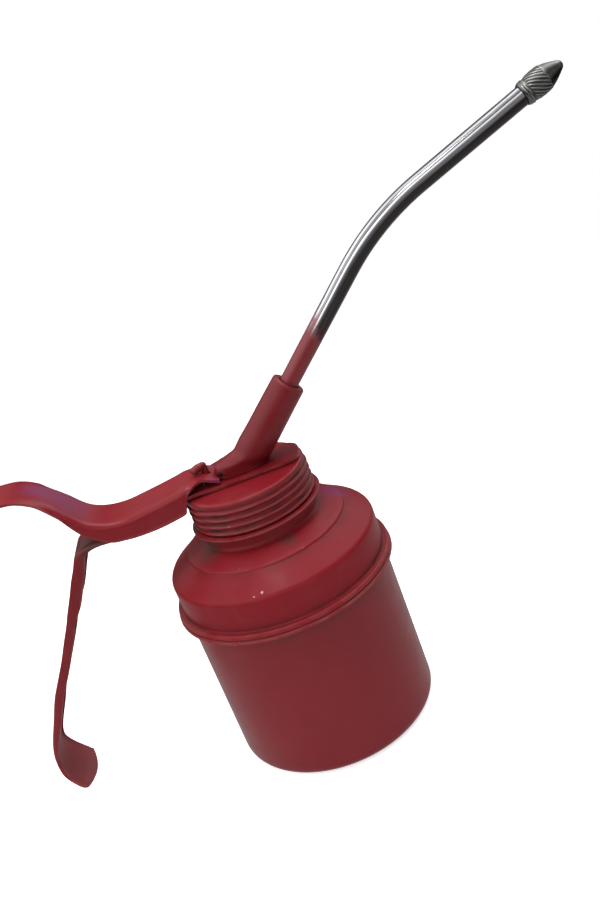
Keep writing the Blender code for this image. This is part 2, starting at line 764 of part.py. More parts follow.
def build_strap(head):
    stations = strap_stations()
    last = len(stations) - 1
    rings = []
    for index, (across, up, half_width, lip, fold, bow) in enumerate(stations):
        before = Vector(stations[max(index - 1, 0)][:2])
        after = Vector(stations[min(index + 1, last)][:2])
        along = (after - before).normalized()
        inward = Vector((-along.y, along.x))
        forward = along if index > last / 2 else -along
        half = folded_edge(half_width, STRAP_BEND, fold, max(lip, STRAP_BEND / 4))
        row = []
        for side in (-1, 1):
            edge = []
            for out, depth in half:
                lag = bow * (out / half_width) ** 2
                spot = Vector((across, up)) + inward * depth - forward * lag
                edge.append((spot.x, side * out, spot.y))
            row += reversed(edge) if side < 0 else edge
        rings.append(row)
    strap = walled(loft("handle_strap", rings, RED, head, closed=False), STRAP_SHEET)
    below = STRAP_UNDER - OVERRUN
    above = STRAP_TOP + OVERRUN
    cut(strap, rod_guide("strap_rod_hole", (ROD_X, 0.0, below), (ROD_X, 0.0, above), NOSE_RADIUS + GAP))
    cut(strap, rod_guide("strap_stem_hole", (STEM_X, 0.0, below), (STEM_X, 0.0, above), STEM_RADIUS + GAP))


def socket_radius(along):
    return SOCKET_LOW_RADIUS + (SOCKET_TOP_RADIUS - SOCKET_LOW_RADIUS) * along / SOCKET_LENGTH


def socket_side(along, side):
    """Upper (side 1) or lower (side -1) outline point of the leaning barrel of the socket."""
    square = Vector((-math.sin(LEAN), 0.0, math.cos(LEAN)))
    return SOCKET_BASE + SPOUT_AXIS * along + square * (side * socket_radius(along))


def socket_section(upper, lower, half_width, squareness):
    """An oval between two outline points; its back half may be squarer than an ellipse."""
    centre = (upper + lower) / 2
    reach = (lower - upper) / 2
    ring = []
    for step in range(SOCKET_POINTS):
        angle = math.tau * step / SOCKET_POINTS
        cosine = math.cos(angle)
        sine = math.sin(angle)
        power = 2.0 / squareness if cosine < 0.0 else 1.0
        out = math.copysign(abs(cosine) ** power, cosine)
        wide = math.copysign(abs(sine) ** power, sine)
        ring.append(centre + reach * out + Vector((0.0, half_width * wide, 0.0)))
    return ring


def build_socket(head):
    lower_start = (GAP + SOCKET_LOW_RADIUS * math.cos(LEAN)) / math.sin(LEAN)
    upper_start = (SOCKET_LOW_RADIUS - LUG_HEIGHT / 4) * math.tan(LEAN) * 0.75
    lug_back = -FOOT_BACK
    lug_top = FOOT_Z + LUG_HEIGHT
    slope = Vector((0.0, 0.0, LUG_HEIGHT / 4))
    upper_join = socket_side(upper_start, 1)
    uppers = (
        Vector((lug_back, 0.0, FOOT_Z)),
        Vector((lug_back, 0.0, lug_top - LUG_HEIGHT / 8)),
        Vector((lug_back + LUG_HEIGHT / 8, 0.0, lug_top)),
        Vector(((lug_back + upper_join.x) / 2, 0.0, lug_top)) + slope,
        Vector((upper_join.x * 0.7 + lug_back * 0.3, 0.0, lug_top)) + slope * 1.5,
    )
    rings = []
    for index, upper in enumerate(uppers):
        share, squareness = BOSS_SHARES[index]
        lower = socket_side(lower_start + OVERRUN * index / 4, -1)
        lower.z = max(lower.z, FOOT_Z)
        rings.append(socket_section(upper, lower, FOOT_HALF_WIDTH * share, squareness))
    join_lower = lower_start + OVERRUN * 1.5
    straight = SOCKET_LENGTH - SOCKET_CHAMFER
    for share in (0.0, 0.12, 0.3, 0.6, 1.0):
        upper_at = upper_start + (straight - upper_start) * share
        lower_at = join_lower + (straight - join_lower) * share
        radius = (socket_radius(upper_at) + socket_radius(lower_at)) / 2
        rings.append(socket_section(socket_side(upper_at, 1), socket_side(lower_at, -1), radius, 2.0))
    square = Vector((-math.sin(LEAN), 0.0, math.cos(LEAN)))
    rim = SOCKET_TOP_RADIUS - SOCKET_CHAMFER
    rings.append(socket_section(SOCKET_FACE + square * rim, SOCKET_FACE - square * rim, rim, 2.0))
    socket = loft("spout_socket", rings, RED, head)

    stem_low = (STEM_X, 0.0, STEM_END)
    join(socket, rod_guide("socket_stem", stem_low, (STEM_X, 0.0, FOOT_Z + OVERRUN), STEM_RADIUS))
    slot_low = (lug_back - OVERRUN, -LUG_SLOT_HALF_WIDTH, FOOT_Z - OVERRUN)
    slot_high = (PIVOT.x + EYE_RADIUS + GAP, LUG_SLOT_HALF_WIDTH, FOOT_Z + LUG_SLOT_HEIGHT - GAP)
    cut(socket, box_guide("lug_slot", slot_low, slot_high))
    pin_start = PIVOT - Vector((0.0, FOOT_HALF_WIDTH + OVERRUN, 0.0))
    pin_end = PIVOT + Vector((0.0, FOOT_HALF_WIDTH + OVERRUN, 0.0))
    cut(socket, rod_guide("lug_pin_hole", pin_start, pin_end, PIN_RADIUS + GAP / 2, sides=TINY_STEPS))
    way_top = SOCKET_BASE + SPOUT_AXIS * (STEM_X - SOCKET_X) / math.cos(LEAN)
    seat = SOCKET_FACE - SPOUT_AXIS * SOCKET_SEAT_DEPTH
    cut(socket, rod_guide(
        "stem_way", (STEM_X, 0.0, STEM_END - OVERRUN), way_top + Vector((0.0, 0.0, OIL_WAY_RADIUS)),
        OIL_WAY_RADIUS, sides=TINY_STEPS))
    cut(socket, rod_guide(
        "spout_way", way_top, seat + SPOUT_AXIS * OVERRUN, OIL_WAY_RADIUS * 1.15, sides=TINY_STEPS))
    cut(socket, rod_guide(
        "spout_seat", seat, SOCKET_FACE + SPOUT_AXIS * OVERRUN, TUBE_RADIUS + GAP))


def build_stem_fixings(head):
    washer_high = CAP_UNDER - GAP
    washer_low = washer_high - WASHER_HEIGHT
    bore = STEM_RADIUS + GAP
    place = (STEM_X, 0.0, 0.0)
    turned("stem_washer", ring_outline(WASHER_RADIUS, bore, washer_low, washer_high), STEEL, head,
           place, SMALL_STEPS, closed=True)
    nut_high = washer_low - GAP
    hex_nut("stem_nut", STEM_X, nut_high - NUT_HEIGHT, nut_high, NUT_FLATS, bore, head, STEEL)


def hex_nut(name, across, low, high, flats, bore, empty, material):
    corner = flats / math.sqrt(3.0)
    mesh = rod_mesh(name, (0.0, 0.0, low), (0.0, 0.0, high), corner, sides=6)
    mesh.transform(Matrix.Translation(-empty.location))
    nut = add_piece(name, mesh, material, empty, empty.location)
    nut.location.x += across - empty.location.x
    mesh.transform(Matrix.Translation((empty.location.x, 0.0, 0.0)))
    cut(nut, rod_guide(
        name + "_bore", (across, 0.0, low - OVERRUN), (across, 0.0, high + OVERRUN), bore,
        sides=SMALL_STEPS))
    return nut


def spout_path():
    """Tube centre line: straight out of the socket, one wide bend, straight to the nozzle."""
    start = SOCKET_FACE - SPOUT_AXIS * (SOCKET_SEAT_DEPTH - GAP)
    bend_start = SOCKET_FACE + SPOUT_AXIS * TUBE_STRAIGHT
    across = Vector((math.sin(LEAN), 0.0, -math.cos(LEAN)))
    centre = bend_start + across * TUBE_BEND_RADIUS
    points = [start, SOCKET_FACE + SPOUT_AXIS * TUBE_STRAIGHT / 2]
    for step in range(TUBE_BEND_POINTS + 1):
        lean = LEAN + (TIP - LEAN) * step / TUBE_BEND_POINTS
        points.append(centre + Vector((-math.sin(lean), 0.0, math.cos(lean))) * TUBE_BEND_RADIUS)
    collar = points[-1] + TIP_AXIS * TUBE_TIP_STRAIGHT
    points.append(collar + TIP_AXIS * (NOZZLE_SOCKET_DEPTH - GAP))
    return points, collar


def build_spout(head):
    points, collar = spout_path()
    drawn_tube("spout_tube", points, TUBE_RADIUS, TUBE_WALL, CHROME, head, sides=6)
    return collar


def nozzle_outline():
    """Nozzle radii against the distance from the collar's face, tip first."""
    cone = NOZZLE_LENGTH - NOZZLE_BAND_END
    outer = [Vector((NOZZLE_HOLE_RADIUS, NOZZLE_LENGTH)), Vector((NOZZLE_TIP_RADIUS, NOZZLE_LENGTH))]
    for along, radius in reversed(NOZZLE_CONE_SHARES):
        outer.append(Vector((NOZZLE_BAND_RADIUS * radius, NOZZLE_BAND_END + cone * along)))
    band = NOZZLE_BAND_END - NOZZLE_BAND_START
    for share in (1.0, 0.85, 0.6, 0.35, 0.12):
        swell = NOZZLE_BAND_RADIUS - (NOZZLE_BAND_RADIUS - NOZZLE_COLLAR_RADIUS) * (1.4 * share - 0.8) ** 2
        outer.append(Vector((swell, NOZZLE_BAND_START + band * share)))
    groove = NOZZLE_COLLAR_RADIUS - GAP
    outer += [
        Vector((groove, NOZZLE_BAND_START)),
        Vector((NOZZLE_COLLAR_RADIUS, NOZZLE_BAND_START * 0.8)),
        Vector((NOZZLE_COLLAR_RADIUS, NOZZLE_BAND_START * 0.55)),
        Vector((groove, NOZZLE_BAND_START * 0.45)),
        Vector((NOZZLE_COLLAR_RADIUS, NOZZLE_BAND_START * 0.3)),
        Vector((NOZZLE_COLLAR_RADIUS, 0.0)),
    ]
    seal_high = NOZZLE_SOCKET_DEPTH + GAP + NOZZLE_SEAL_HEIGHT + GAP
    bore = TUBE_RADIUS + GAP
    inner = [
        Vector((bore, 0.0)),
        Vector((bore, seal_high)),
        Vector((NOZZLE_HOLE_RADIUS * 2, seal_high + band)),
        Vector((NOZZLE_HOLE_RADIUS, NOZZLE_LENGTH - NOZZLE_TIP_RADIUS * 2)),
    ]
    return outer + inner


def build_nozzle(nozzle, seal_ring):
    piece = turned("spout_nozzle", nozzle_outline(), CHROME, steps=FLUTES * 2, closed=True)
    piece = as_mesh(piece)
    middle = (NOZZLE_BAND_START + NOZZLE_BAND_END) / 2
    half = (NOZZLE_BAND_END - NOZZLE_BAND_START) / 2
    bore = TUBE_RADIUS + GAP
    for vertex in piece.data.vertices:
        radius = math.hypot(vertex.co.x, vertex.co.y)
        angle = math.atan2(vertex.co.y, vertex.co.x)
        share = (vertex.co.z - middle) / half
        if abs(share) < 1.0 and radius > bore + FLUTE_DEPTH / 2:
            radius -= FLUTE_DEPTH * (1 - share * share) * (1 - math.cos(FLUTES * angle)) / 2
        angle += math.radians(FLUTE_TWIST) * max(-1.0, min(1.0, share)) / 2
        vertex.co.x = radius * math.cos(angle)
        vertex.co.y = radius * math.sin(angle)
    piece.data.shade_smooth()
    piece.data.materials.clear()
    piece.data.materials.append(CHROME)
    piece.parent = nozzle
    piece.location = (0.0, 0.0, 0.0)

    low = NOZZLE_SOCKET_DEPTH + GAP
    outline = ring_outline(TUBE_RADIUS, TUBE_RADIUS - TUBE_WALL * 1.5, low, low + NOZZLE_SEAL_HEIGHT)
    seal = turned("nozzle_seal", outline, RUBBER, steps=SMALL_STEPS, closed=True)
    seal.parent = seal_ring


def lever_rings():
    rings = []
    for back, height, width, flange, fold in LEVER_SHARES:
        across = PIVOT.x - LEVER_LENGTH * back
        up = PIVOT.z + LEVER_RISE * height
        half = folded_edge(LEVER_HALF_WIDTH * width, LEVER_BEND, fold, LEVER_FLANGE * flange)
        row = [(across, -out, up - down) for out, down in reversed(half)]
        row += [(across, out, up - down) for out, down in half]
        rings.append(row)
    return rings


def lug_outline_guide(name, clearance, low, high):
    """The socket foot's plan, grown by a clearance, as an upright prism with a slit for the eye's tab."""
    lower_start = (GAP + SOCKET_LOW_RADIUS * math.cos(LEAN)) / math.sin(LEAN)
    lower = socket_side(lower_start, -1)
    grow = Vector((clearance, 0.0, 0.0))
    rings = []
    for height in (low, high):
        upper_end = Vector((-FOOT_BACK, 0.0, height)) - grow
        lower_end = Vector((lower.x, 0.0, height)) + grow
        widest = FOOT_HALF_WIDTH * BOSS_SHARES[2][0] + clearance
        rings.append(socket_section(upper_end, lower_end, widest, BOSS_SHARES[0][1]))
    return loft(name, rings, None)


def build_lever(lever, head):
    piece = walled(loft("thumb_lever", lever_rings(), RED, lever, closed=False), LEVER_SHEET)
    low = STRAP_TOP - OVERRUN
    high = PIVOT.z + LEVER_RISE / 2
    for side in (-1, 1):
        name = "tongue_notch_left" if side < 0 else "tongue_notch_right"
        notch = lug_outline_guide(name, LUG_CLEARANCE, low, high)
        far = side * (LEVER_HALF_WIDTH + OVERRUN)
        near = side * EYE_HALF_WIDTH
        keep_low = (-LEVER_LENGTH, min(near, -far), low - OVERRUN)
        keep_high = (LEVER_LENGTH, max(near, -far), high + OVERRUN)
        cut(notch, box_guide(name + "_keep", keep_low, keep_high))
        cut(piece, notch)
        front_low = (PIVOT.x - TONGUE_FRONT, min(near, far), low)
        front_high = (PIVOT.x + EYE_RADIUS + OVERRUN, max(near, far), high)
        cut(piece, box_guide(name + "_front", front_low, front_high))
    half = Vector((0.0, EYE_HALF_WIDTH, 0.0))
    join(piece, rod_guide("lever_eye", PIVOT - half, PIVOT + half, EYE_RADIUS))
    cut(piece, rod_guide("lever_eye_bore", PIVOT - half * 2, PIVOT + half * 2, EYE_BORE, sides=TINY_STEPS))
    hole_low = (ROD_X, 0.0, low)
    hole_high = (ROD_X, 0.0, high)
    cut(piece, rod_guide("tongue_hole", hole_low, hole_high, TONGUE_HOLE_RADIUS, sides=TINY_STEPS))
    pin_half = lug_half_width_at(PIVOT.x) + PIN_PROUD
    outline = (
        (0.0, pin_half),
        (PIN_RADIUS - PIN_CHAMFER, pin_half),
        (PIN_RADIUS, pin_half - PIN_CHAMFER),
        (PIN_RADIUS, PIN_CHAMFER - pin_half),
        (PIN_RADIUS - PIN_CHAMFER, -pin_half),
        (0.0, -pin_half),
    )
    pin = turned("lever_pin", outline, STEEL, steps=TINY_STEPS)
    pin.parent = head
    pin.location = PIVOT - head.location
    pin.rotation_euler = (math.pi / 2, 0.0, 0.0)


def lug_half_width_at(across):
    """Half width of the foot's squared back end at a place along X."""
    lower_start = (GAP + SOCKET_LOW_RADIUS * math.cos(LEAN)) / math.sin(LEAN)
    front = socket_side(lower_start, -1).x
    middle = (front - FOOT_BACK) / 2
    share = abs(across - middle) / ((front + FOOT_BACK) / 2)
    power = BOSS_SHARES[1][1]
    return FOOT_HALF_WIDTH * BOSS_SHARES[2][0] * (1 - share ** power) ** (1 / power)


def build_plunger(plunger):
    place = (ROD_X, 0.0, 0.0)
    shoulder = STRAP_TOP + ROD_SHOULDER
    hook_z = STRAP_TOP + HOOK_HEIGHT
    tail_low = DISC_TOP - ROD_TAIL_LENGTH
    disc_seat = DISC_TOP + GAP
    outline = (
        (0.0, shoulder),
        (ROD_RADIUS, shoulder),
        (ROD_RADIUS, disc_seat),
        (ROD_TAIL_RADIUS, disc_seat),
        (ROD_TAIL_RADIUS, tail_low),
        (0.0, tail_low),
    )
    rod = turned("plunger_rod", outline, STEEL, plunger, place, SMALL_STEPS)
    points = [(ROD_X, 0.0, shoulder - OVERRUN), (ROD_X, 0.0, hook_z - HOOK_BEND)]
    for step in range(1, ARC_STEPS + 1):
        angle = math.pi / 2 * step / ARC_STEPS
        across = ROD_X - HOOK_BEND * (1 - math.cos(angle))
        points.append((across, 0.0, hook_z - HOOK_BEND + HOOK_BEND * math.sin(angle)))
    points.append((ROD_X - (HOOK_BEND + HOOK_LENGTH) / 2, 0.0, hook_z - HOOK_DROP / 3))
    points.append((ROD_X - HOOK_LENGTH, 0.0, hook_z - HOOK_DROP))
    join(rod, as_mesh(drawn_tube("rod_hook", points, ROD_TOP_RADIUS, None, STEEL, sides=4)))

    bore = ROD_TAIL_RADIUS + GAP
    outer = BARREL_BORE - GAP
    disc_low = DISC_TOP - DISC_HEIGHT
    turned("piston_disc", ring_outline(outer, bore, disc_low, DISC_TOP), BRASS, plunger, place,
           SMALL_STEPS, closed=True)
    cup_high = disc_low - GAP
    cup_low = cup_high - CUP_HEIGHT
    web_low = cup_high - CUP_WALL
    outline = (
        (bore, cup_high),
        (outer, cup_high),
        (outer, cup_low),
        (outer - CUP_WALL / 2, cup_low),
        (outer - CUP_WALL, web_low),
        (bore, web_low),
    )
    turned("piston_cup", outline, LEATHER, plunger, place, SMALL_STEPS, closed=True)
    washer_high = web_low - GAP
    washer_low = washer_high - PISTON_WASHER_HEIGHT
    washer_radius = outer - CUP_WALL - GAP
    turned("piston_washer", ring_outline(washer_radius, bore, washer_low, washer_high), STEEL,
           plunger, place, SMALL_STEPS, closed=True)
    nut_high = washer_low - GAP
    hex_nut("piston_nut", ROD_X, nut_high - PISTON_NUT_HEIGHT, nut_high, PISTON_NUT_FLATS, bore,
            plunger, STEEL)
    return washer_low


def build_barrel(head, spring_high):
    place = (ROD_X, 0.0, 0.0)
    nose_top = STRAP_TOP - GAP / 2
    nose_bore = ROD_RADIUS + GAP
    head_low = BARREL_TOP - BARREL_HEAD
    outline = (
        (nose_bore, nose_top),
        (NOSE_RADIUS, nose_top),
        (NOSE_RADIUS, BARREL_TOP),
        (BARREL_RADIUS, BARREL_TOP),
        (BARREL_RADIUS, BARREL_BASE),
        (BARREL_BORE, BARREL_BASE),
        (BARREL_BORE, head_low),
        (nose_bore, head_low),
    )
    turned("pump_barrel", outline, BRASS, head, place, SMALL_STEPS, closed=True)
    packing_high = head_low - GAP
    packing_low = packing_high - PACKING_HEIGHT
    outer = BARREL_BORE - GAP
    turned("rod_packing", ring_outline(outer, nose_bore, packing_low, packing_high), LEATHER, head,
           place, SMALL_STEPS, closed=True)
    ring_high = packing_low - GAP
    ring_low = ring_high - PACKING_RING_HEIGHT
    turned("packing_ring", ring_outline(outer, nose_bore, ring_low, ring_high), BRASS, head, place,
           SMALL_STEPS, closed=True)
    low = BARREL_BASE + VALVE_SPIGOT + GAP + SPRING_WIRE
    high = spring_high - GAP - SPRING_WIRE
    points = coil_points(ROD_X, low, high, SPRING_RADIUS, SPRING_TURNS, SPRING_POINTS)
    drawn_tube("return_spring", points, SPRING_WIRE, None, SPRING_STEEL, head, sides=0)


def build_foot_valve(head, inlet):
    place = (ROD_X, 0.0, 0.0)
    spigot_top = BARREL_BASE + VALVE_SPIGOT
    seat_z = VALVE_BASE + CHAMBER_FLOOR
    tail_low = VALVE_BASE - TAIL_HEIGHT
    tube_bore = SUCTION_RADIUS + GAP
    socket_top = tail_low + SUCTION_SEAT + GAP
    outline = (
        (CHAMBER_RADIUS, spigot_top),
        (BARREL_BORE - GAP, spigot_top),
        (BARREL_BORE - GAP, VALVE_TOP),
        (BARREL_RADIUS, VALVE_TOP),
        (BARREL_RADIUS, VALVE_BASE),
        (TAIL_RADIUS, VALVE_BASE),
        (TAIL_RADIUS, tail_low),
        (tube_bore, tail_low),
        (tube_bore, socket_top),
        (SEAT_RADIUS, socket_top),
        (SEAT_RADIUS, seat_z),
        (SEAT_RADIUS + SEAT_CHAMFER, seat_z + SEAT_CHAMFER),
        (CHAMBER_RADIUS, seat_z + SEAT_CHAMFER),
    )
    valve = turned("foot_valve", outline, BRASS, head, place, SMALL_STEPS, closed=True)
    port_z = VALVE_BASE + PORT_HEIGHT
    face = ROD_X + BARREL_RADIUS
    outside = (face + OVERRUN, 0.0, port_z)
    cut(valve, rod_guide("side_port", (ROD_X, 0.0, port_z), outside, PORT_RADIUS, sides=TINY_STEPS))
    seat_start = (face - RISER_SEAT - GAP, 0.0, port_z)
    cut(valve, rod_guide("riser_seat", seat_start, outside, RISER_RADIUS + GAP, sides=TINY_STEPS))

    reach = INLET_BALL_RADIUS + GAP / 2
    ball_z = seat_z + reach * math.sqrt(2.0) - SEAT_RADIUS
    shape = bmesh.new()
    bmesh.ops.create_uvsphere(shape, u_segments=TINY_STEPS, v_segments=8, radius=INLET_BALL_RADIUS)
    mesh = bpy.data.meshes.new("inlet_ball")
    shape.to_mesh(mesh)
    shape.free()
    mesh.shade_smooth()
    inlet.location = (ROD_X, 0.0, ball_z)
    add_piece("inlet_ball", mesh, STEEL, inlet, inlet.location)

    low = ball_z + INLET_BALL_RADIUS + INLET_LIFT + GAP
    high = low + RETAINER_HEIGHT
    retainer = turned("ball_retainer", ring_outline(CHAMBER_RADIUS - GAP, OIL_WAY_RADIUS, low, high), BRASS,
                      head, place, SMALL_STEPS, closed=True)
    return retainer, port_z


def build_outlet(head, outlet, port_z):
    top = STEM_END + OUTLET_SOCKET
    base = top - OUTLET_HEIGHT
    seat_z = base + OUTLET_SEAT_HEIGHT
    place = (STEM_X, 0.0, 0.0)
    socket_bore = STEM_RADIUS + GAP
    riser_bore = RISER_RADIUS + GAP
    outline = (
        (socket_bore, top),
        (OUTLET_RADIUS, top),
        (OUTLET_RADIUS, base),
        (riser_bore, base),
        (riser_bore, base + RISER_SEAT + GAP),
        (OUTLET_SEAT_RADIUS, base + RISER_SEAT + GAP),
        (OUTLET_SEAT_RADIUS, seat_z),
        (OUTLET_SEAT_RADIUS + OUTLET_CHAMFER, seat_z + OUTLET_CHAMFER),
        (OUTLET_CHAMBER_RADIUS, seat_z + OUTLET_CHAMFER),
        (OUTLET_CHAMBER_RADIUS, STEM_END - GAP),
        (socket_bore, STEM_END - GAP),
    )
    turned("outlet_valve", outline, BRASS, head, place, SMALL_STEPS, closed=True)
    reach = OUTLET_BALL_RADIUS + GAP / 2
    ball_z = seat_z + reach * math.sqrt(2.0) - OUTLET_SEAT_RADIUS
    shape = bmesh.new()
    bmesh.ops.create_uvsphere(shape, u_segments=TINY_STEPS, v_segments=8, radius=OUTLET_BALL_RADIUS)
    mesh = bpy.data.meshes.new("outlet_ball")
    shape.to_mesh(mesh)
    shape.free()
    mesh.shade_smooth()
    outlet.location = (STEM_X, 0.0, ball_z)
    add_piece("outlet_ball", mesh, STEEL, outlet, outlet.location)
    low = ball_z + OUTLET_BALL_RADIUS + GAP + OUTLET_SPRING_WIRE
    high = STEM_END - GAP - OUTLET_SPRING_WIRE
    points = coil_points(STEM_X, low, high, OUTLET_SPRING_RADIUS, OUTLET_SPRING_TURNS, SPRING_POINTS)
    drawn_tube("outlet_spring", points, OUTLET_SPRING_WIRE, None, SPRING_STEEL, head, sides=0)

    start = Vector((ROD_X + BARREL_RADIUS - RISER_SEAT, 0.0, port_z))
    corner = Vector((STEM_X, 0.0, port_z))
    end = Vector((STEM_X, 0.0, base + RISER_SEAT))
    points = [start]
    for step in range(ARC_STEPS * 2 + 1):
        angle = math.pi / 2 * step / (ARC_STEPS * 2)
        across = corner.x - RISER_BEND + RISER_BEND * math.sin(angle)
        points.append(Vector((across, 0.0, corner.z + RISER_BEND - RISER_BEND * math.cos(angle))))
    points.append(end)
    drawn_tube("riser_tube", points, RISER_RADIUS, RISER_WALL, BRASS, head, sides=2)


def build_suction(head):
    place = (ROD_X, 0.0, 0.0)
    floor = CAN_SHEET + STRAINER_CLEARANCE
    high = VALVE_BASE - TAIL_HEIGHT + SUCTION_SEAT
    low = floor + STRAINER_HEIGHT / 2
    outline = ring_outline(SUCTION_RADIUS, SUCTION_RADIUS - SUCTION_WALL, low, high)
    turned("suction_tube", outline, BRASS, head, place, SMALL_STEPS, closed=True)
    collar = SUCTION_RADIUS + GAP
    top = floor + STRAINER_HEIGHT
    shelf = top - STRAINER_WALL
    inside = STRAINER_RADIUS - STRAINER_WALL
    outline = (
        (0.0, floor + STRAINER_WALL),
        (inside, floor + STRAINER_WALL),
        (inside, shelf),
        (collar, shelf),
        (collar, top),
        (STRAINER_RADIUS, top),
        (STRAINER_RADIUS, floor),
        (0.0, floor),
    )
    strainer = turned("strainer", outline, BRASS, head, place, SMALL_STEPS)
    for index in range(STRAINER_SLOTS // 2):
        name = "strainer_slot_" + str(index)
        long_half = STRAINER_RADIUS + OVERRUN
        short_half = STRAINER_SLOT_WIDTH / 2
        half = (long_half, short_half) if index == 0 else (short_half, long_half)
        slot_low = (ROD_X - half[0], -half[1], floor + STRAINER_WALL * 2)
        slot_high = (ROD_X + half[0], half[1], low - GAP)
        cut(strainer, box_guide(name, slot_low, slot_high))


def build():
    can = axis_point("can_frame", (0.0, 0.0, 0.0))
    ring = axis_point("gasket_axis", (0.0, 0.0, 0.0))
    head = axis_point("head_axis", (0.0, 0.0, 0.0))
    lever = axis_point("lever_axis", PIVOT)
    plunger = axis_point("plunger_axis", (ROD_X, 0.0, 0.0))
    inlet = axis_point("inlet_axis", (ROD_X, 0.0, 0.0))
    outlet = axis_point("outlet_axis", (STEM_X, 0.0, 0.0))
    build_can(can)
    build_gasket(ring)
    build_cap(head)
    build_strap(head)
    build_socket(head)
    build_stem_fixings(head)
    collar = build_spout(head)
    spin = (0.0, math.pi / 2 - TIP, 0.0)
    nozzle = axis_point("nozzle_axis", collar, spin)
    seal_ring = axis_point("seal_axis", collar, spin)
    build_nozzle(nozzle, seal_ring)
    build_lever(lever, head)
    spring_high = build_plunger(plunger)
    build_barrel(head, spring_high)
    retainer, port_z = build_foot_valve(head, inlet)
    build_outlet(head, outlet, port_z)
    build_suction(head)


build()
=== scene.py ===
from math import acos, ceil, cos, pi, radians, sin, tan

import bmesh
import bpy
import numpy as np
from mathutils import Matrix, Vector


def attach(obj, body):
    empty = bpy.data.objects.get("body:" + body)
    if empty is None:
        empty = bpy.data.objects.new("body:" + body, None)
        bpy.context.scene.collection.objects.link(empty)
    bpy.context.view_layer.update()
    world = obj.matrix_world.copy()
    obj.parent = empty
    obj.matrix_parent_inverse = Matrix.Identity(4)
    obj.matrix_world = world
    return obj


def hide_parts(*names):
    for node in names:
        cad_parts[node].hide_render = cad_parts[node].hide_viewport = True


# Oil can with a thumb-lever pump. The sizes in the dictionaries are millimetres,
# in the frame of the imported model: spout to +X, lever and handle to -X, base on z 0.

mm = 0.001
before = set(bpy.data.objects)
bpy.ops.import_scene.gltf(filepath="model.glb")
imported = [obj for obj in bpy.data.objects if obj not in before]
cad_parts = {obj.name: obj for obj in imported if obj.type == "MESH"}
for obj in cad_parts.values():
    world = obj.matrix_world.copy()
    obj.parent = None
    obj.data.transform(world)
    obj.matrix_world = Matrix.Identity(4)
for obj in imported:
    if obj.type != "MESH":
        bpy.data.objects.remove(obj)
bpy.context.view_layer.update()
print("frame loaded:", len(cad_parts), "nodes")


# A dictionary whose values are also read as attributes
class settings(dict):
    __getattr__ = dict.__getitem__


# Surfaces

# Distance run from the first row to each row, by the first two columns
def chordLength(rows):
    chord = np.linalg.norm(np.diff(rows[:, :2], axis=0), axis=1)
    return np.concatenate([[0.0], np.cumsum(chord)])


# Natural cubic spline through the rows at distances t. Between two rows it is
# a r0 + b r1 + ((a^3 - a) m0 + (b^3 - b) m1) gap^2 / 6, with a and b the shares of the gap
# to go and gone, and m the second slopes that keep the slope unbroken.
def splineRows(rows, t, at):
    gap = np.diff(t)
    size = len(t)
    matrix = np.eye(size)
    right = np.zeros_like(rows)
    inner = np.arange(1, size - 1)
    matrix[inner, inner - 1] = gap[:-1]
    matrix[inner, inner] = 2 * (gap[:-1] + gap[1:])
    matrix[inner, inner + 1] = gap[1:]
    slope = np.diff(rows, axis=0) / gap[:, None]
    right[inner] = 6 * (slope[1:] - slope[:-1])
    bend = np.linalg.solve(matrix, right)
    left = np.clip(np.searchsorted(t, at, side="right") - 1, 0, size - 2)
    a = ((t[left + 1] - at) / gap[left])[:, None]
    b = 1.0 - a
    h = (gap[left] ** 2)[:, None] / 6.0
    straight = a * rows[left] + b * rows[left + 1]
    return straight + ((a ** 3 - a) * bend[left] + (b ** 3 - b) * bend[left + 1]) * h


# More rows, evenly spaced: the first columns follow the spline, the others run straight
def smoothRows(rows, count, curved=2):
    rows = np.array(rows, float)
    t = chordLength(rows)
    at = np.linspace(0.0, t[-1], count)
    smooth = splineRows(rows, t, at)
    for k in range(curved, rows.shape[1]):
        smooth[:, k] = np.interp(at, t, rows[:, k])
    return smooth


# Each column averaged under a bell curve of that many rows; the ends stay where they are
def relaxed(rows, reach):
    half = int(3 * reach) + 1
    bell = np.exp(-0.5 * (np.arange(-half, half + 1) / reach) ** 2)
    bell /= bell.sum()
    head = 2 * rows[0] - rows[1:half + 1][::-1]
    tail = 2 * rows[-1] - rows[-half - 1:-1][::-1]
    padded = np.concatenate([head, rows, tail])
    return np.stack([np.convolve(padded[:, k], bell, "valid") for k in range(rows.shape[1])], axis=1)


def unit(line):
    return line / np.linalg.norm(line)


# Outline through (across, up, radius) corners, each rounded by the arc that touches both sides
def roundedOutline(corners, steps):
    points = []
    for k, (x, z, radius) in enumerate(corners):
        here = np.array([x, z], float)
        if radius <= 0 or k in (0, len(corners) - 1):
            points.append(here)
            continue
        back, ahead = (unit(np.array(corners[n][:2], float) - here) for n in (k - 1, k + 1))
        half = acos(np.clip(back @ ahead, -1, 1)) / 2
        middle = unit(back + ahead)
        centre = here + middle * radius / sin(half)
        first = here + back * radius / tan(half) - centre
        turn = (pi - 2 * half) * (1 if back[0] * ahead[1] - back[1] * ahead[0] < 0 else -1)
        for angle in np.linspace(0, turn, steps):
            c, s = cos(angle), sin(angle)
            points.append(centre + np.array([first[0] * c - first[1] * s, first[0] * s + first[1] * c]))
    return np.array(points)


# Extra points on the outline's long straight runs, at most one step apart
def denser(outline, step, closed=False):
    if closed:
        outline = np.concatenate([outline, outline[:1]])
    parts = [outline[:1]]
    for a, b in zip(outline[:-1], outline[1:]):
        pieces = max(1, int(ceil(np.linalg.norm(b - a) / step)))
        parts.append(a + (b - a) * np.linspace(0, 1, pieces + 1)[1:, None])
    dense = np.concatenate(parts)
    return dense[:-1] if closed else dense


